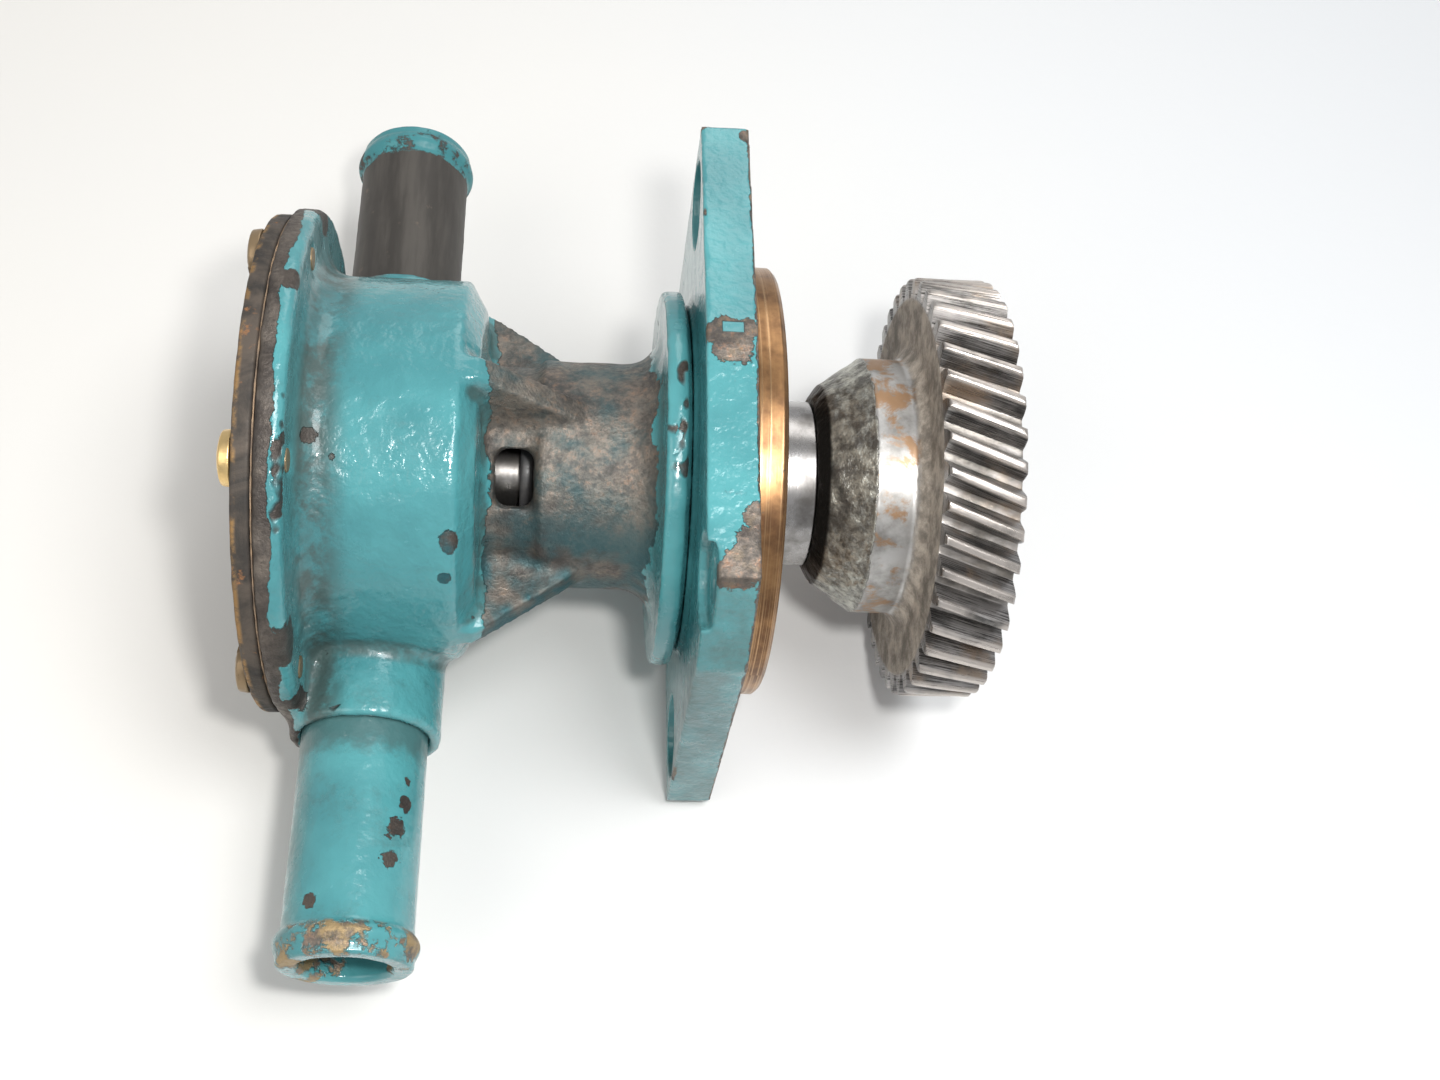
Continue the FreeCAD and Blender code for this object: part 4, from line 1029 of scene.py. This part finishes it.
def gear_body_outline(nose, left, right):
    """From the back of the teeth through recess, bore, forged cone and hub to their front."""
    corners = [(right, GEAR_BODY), (right, 39.2), (right - 0.5, 38.4), (RECESS_FLOOR + 0.4, 36.6),
               (RECESS_FLOOR, 36.1), (RECESS_FLOOR, GEAR_BORE), (nose, GEAR_BORE), (nose, 19.9),
               (nose + 0.4, 20.7), (nose + 2.2, 23.6), (nose + 11.3, 29.9), (nose + 11.8, 30.08),
               (nose + 20.4, 30.1), (nose + 21.2, 30.6), (left - 0.2, 33.0), (left, 34.0), (left, GEAR_BODY)]
    fine, coarse = 0.7, 3.0
    outline = []
    for (x0, r0), (x1, r1) in zip(corners, corners[1:]):
        on_cone = nose <= x0 < nose + 12 and r0 > 19
        pieces = max(1, int(math.hypot(x1 - x0, r1 - r0) / (fine if on_cone else coarse)))
        outline += [(x0 + (x1 - x0) * k / pieces, r0 + (r1 - r0) * k / pieces) for k in range(pieces)]
    return outline + corners[-1:]


def gear():
    """Helical teeth, web, hub and forged cone as one skin."""
    low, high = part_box("drive_gear")
    nose, right = low.x / MM, high.x / MM
    left = right - FACE_WIDTH
    angles, radii = tooth_outline()
    rings = tooth_rings(angles, radii, left, right)
    outline = gear_body_outline(nose, left, right)
    for i, point in enumerate(outline):
        turn_back = TWIST * FACE_WIDTH / 2 * (1 - 2 * i / (len(outline) - 1))
        rings += rings_about_x([point], angles + turn_back)
    mesh = grid_mesh("helical_gear", rings, 32)

    def on_cone(points):
        return ((points[:, 0] < nose + CONE_LONG) & (from_axis(points) > CONE_INSIDE)).astype(float)

    roughen(mesh, 0.45, 300, on_cone)
    add_piece(mesh, gear_finish(), "rotor", "gear_steel", "drive_gear")


def shaft():
    """The stepped shaft with the thread for the gear nut."""
    low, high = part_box("pump_shaft")
    start, end = low.x / MM, high.x / MM
    outline = [(start, AXIS), (start, 8.0), (-66.0, 8.0), (-66.0, 10.0), (-25.0, 10.0), (-25.0, 17.0),
               (-17.0, 17.0), (-17.0, 15.0), (-1.0, 15.0), (-1.0, 14.0), (RECESS_FLOOR, 14.0),
               (RECESS_FLOOR, 9.3)]
    profile = divided(softened(outline, 0.5), 2.0)[:-1]
    profile += [(THREAD_START + THREAD_STEP * k, THREAD_RADIUS) for k in range(THREAD_STEPS)]
    profile += [(end, 8.9), (end, AXIS)]
    angles = round_angles(160)
    rings = []
    for x, radius in profile:
        reach = np.full_like(angles, radius)
        if x > THREAD_START - 0.1 and radius > THREAD_RADIUS - 0.5:
            phase = (x / THREAD_PITCH - angles / (2 * math.pi)) % 1.0
            reach = radius - THREAD_DEEP * np.minimum(phase, 1 - phase)
        rings.append(np.c_[np.full_like(angles, x), reach * np.cos(angles), reach * np.sin(angles)] * MM)
    add_piece(grid_mesh("turned_shaft", rings), polished_steel("shaft_steel"), "rotor", "steel", "pump_shaft")


def nut():
    """Hexagon nut with both ends chamfered."""
    low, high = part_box("gear_nut")
    left, right, flat = low.x / MM, high.x / MM, high.y / MM
    bore, mouth, mouth_deep = 10.1, 11.0, 0.8
    chamfer, slope = 0.7, 1.73
    depths = [0.0, 0.15, 0.35, 0.6, 0.9, 1.3, 1.8]
    angles = round_angles(240)
    hexagon = flat / np.cos((angles + math.pi / 6) % (math.pi / 3) - math.pi / 6)
    rings = []
    for x, depth in [(left + d, d) for d in depths] + [(right - d, d) for d in reversed(depths)]:
        reach = np.minimum(hexagon, flat - chamfer + slope * depth)
        rings.append(np.c_[np.full_like(angles, x), reach * np.cos(angles), reach * np.sin(angles)] * MM)
    inside = [(right, mouth), (right - mouth_deep, bore), (left + mouth_deep, bore), (left, mouth)]
    rings += rings_about_x(inside, angles)
    mesh = grid_mesh("hexagon_nut", rings, 25)
    add_piece(mesh, polished_steel("nut_steel", 0.6), "rotor", "steel", "gear_nut")


def band(left, right, inside, outside):
    """The outline of a plain ring."""
    return [(left, inside), (left, outside), (right, outside), (right, inside)]


def turned_rings():
    """Collar and washer of the gear, the slinger ring, and the cover's paper gasket."""
    steel = polished_steel("collar_steel", 0.66)
    collar = lathe("shaft_collar", band(-1.0, 18.0, 14.05, 19.3), corner=0.35)
    add_piece(collar, steel, "rotor", "steel", "gear_spacer")
    low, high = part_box("gear_washer")
    washer = lathe("thick_washer", band(low.x / MM, high.x / MM, 10.2, high.y / MM), corner=0.3)
    add_piece(washer, steel, "rotor", "steel", "gear_washer")
    low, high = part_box("slinger_ring")
    slinger = lathe("thrower_ring", band(low.x / MM, high.x / MM, 10.0, 13.2), corner=0.9)
    rubber = plain_finish("slinger_rubber", (0.040, 0.040, 0.044), (0.088, 0.084, 0.080), 0.38, 0.0, 160)
    add_piece(slinger, rubber, "rotor", "seal_rubber", "slinger_ring")
    gasket = lathe("paper_gasket", band(-100.0, -99.5, 44.5, 56.3), corner=0.1, around=256, longest=1.0)
    roughen(gasket, 0.2, 320, lambda points: (from_axis(points) > 55).astype(float))
    paper = plain_finish("gasket_paper_dark", (0.120, 0.088, 0.064), (0.340, 0.232, 0.144), 0.8, 0.0, 220)
    add_piece(gasket, paper, "root", "gasket_paper", "cover_gasket")


def finish_cad_nodes():
    """Materials for the CAD nodes that show as they are."""
    looks = {
        "wear_brass": plain_finish("scuffed_brass", (0.760, 0.560, 0.280), (0.480, 0.330, 0.160), 0.4, 0.9),
        "screw_brass": screw_finish("dull_brass", BRASS_DULL, BRASS_DARK, 0.42),
        "steel": polished_steel("dull_steel", 0.62),
        "bearing_steel": polished_steel("bearing_steel", 0.78, 2600),
        "cage_steel": plain_finish("pressed_cage", (0.560, 0.540, 0.520), (0.320, 0.300, 0.280), 0.42, 0.9),
        "seal_rubber": plain_finish("seal_rubber", (0.048, 0.048, 0.048), (0.120, 0.112, 0.104), 0.5, 0.0),
        "impeller_rubber": plain_finish("impeller_rubber", (0.056, 0.056, 0.060), (0.128, 0.124, 0.120),
                                        0.46, 0.0),
        "seal_case_steel": plain_finish("seal_case", (0.640, 0.600, 0.560), (0.280, 0.240, 0.200),
                                        0.45, 0.85),
        "copper": plain_finish("copper_washer", (0.920, 0.520, 0.280), (0.520, 0.240, 0.140), 0.42, 0.9),
    }
    for thing in frame["nodes"].values():
        if thing.hide_render:
            continue
        slot_name = thing.data.materials[0].name.split(".")[0]
        thing.material_slots[0].material = looks[slot_name]


# ------------------------------------------------------------ room and view

FLOOR_SIZE = 6.0
FLOOR_GAP = 0.05 * MM
LIT_POINT = (0.0, -0.01, -0.02)
# Name, place in metres, width in metres, power in watts and colour of each lamp.
LAMPS = [
    ("flash", (0.006, -0.168, 0.350), 0.035, 0.95, (1.0, 0.99, 0.97)),
    ("key", (0.22, -0.12, 0.80), 0.35, 4.1, (0.97, 0.985, 1.0)),
    ("fill", (-0.75, -0.45, 0.85), 0.9, 3.7, (1.0, 0.965, 0.90)),
    ("back", (0.25, 0.95, 0.75), 0.7, 2.6, (1.0, 0.985, 0.96)),
]
ROOM_COLOUR = (0.95, 0.97, 1.0, 1.0)
# Height on the unit sphere and strength of the room's light, at the horizon and overhead.
HORIZON = (-0.05, 0.70)
OVERHEAD = (0.75, 0.50)
LENS = 40.66
SENSOR = 36.0
CAMERA_PLACE = (-0.04037, -0.19673, 0.32694)
CAMERA_TURN = (28.904, -6.004, -1.158)


def room():
    floor_height = cad_bounds[0].z - FLOOR_GAP
    bpy.ops.mesh.primitive_plane_add(size=FLOOR_SIZE, location=(0, 0, floor_height))
    floor = bpy.context.object
    floor.name = "table"
    floor.data.materials.append(floor_finish())


def lamp(name, place, width, power, colour):
    """A round soft lamp turned to the pump."""
    data = bpy.data.lights.new(name, "AREA")
    data.shape = "DISK"
    data.size = width
    data.energy = power
    data.color = colour
    thing = link_object(name, data)
    thing.location = place
    thing.rotation_euler = (Vector(LIT_POINT) - Vector(place)).to_track_quat("-Z", "Y").to_euler()


def surroundings():
    """Even light from the room, which changes from the horizon upwards."""
    world = bpy.data.worlds.new("pale_room")
    bpy.context.scene.world = world
    world.use_nodes = True
    tree = world.node_tree
    direction = tree.nodes.new("ShaderNodeTexCoord").outputs["Generated"]
    split = tree.nodes.new("ShaderNodeSeparateXYZ")
    strength = tree.nodes.new("ShaderNodeMapRange")
    tree.links.new(direction, split.inputs[0])
    tree.links.new(split.outputs["Z"], strength.inputs["Value"])
    for end, (height, level) in (("Min", HORIZON), ("Max", OVERHEAD)):
        strength.inputs["From " + end].default_value = height
        strength.inputs["To " + end].default_value = level
    background = tree.nodes["Background"]
    background.inputs["Color"].default_value = ROOM_COLOUR
    tree.links.new(strength.outputs["Result"], background.inputs["Strength"])


def view():
    data = bpy.data.cameras.new("view")
    data.lens = LENS
    data.sensor_width = SENSOR
    camera = link_object("view", data)
    camera.location = CAMERA_PLACE
    camera.rotation_euler = tuple(math.radians(angle) for angle in CAMERA_TURN)
    bpy.context.scene.camera = camera
    bpy.context.scene.view_settings.view_transform = "Standard"


castings()
cover()
cover_screw_set()
hose_tube("upper_hose_tube", "outlet_tube", 1, upper_tube_finish(), "bare_tube")
hose_tube("lower_hose_tube", "inlet_tube", -1, lower_tube_finish(), "painted_tube")
gear()
shaft()
nut()
turned_rings()
finish_cad_nodes()
room()
for settings in LAMPS:
    lamp(*settings)
surroundings()
view()
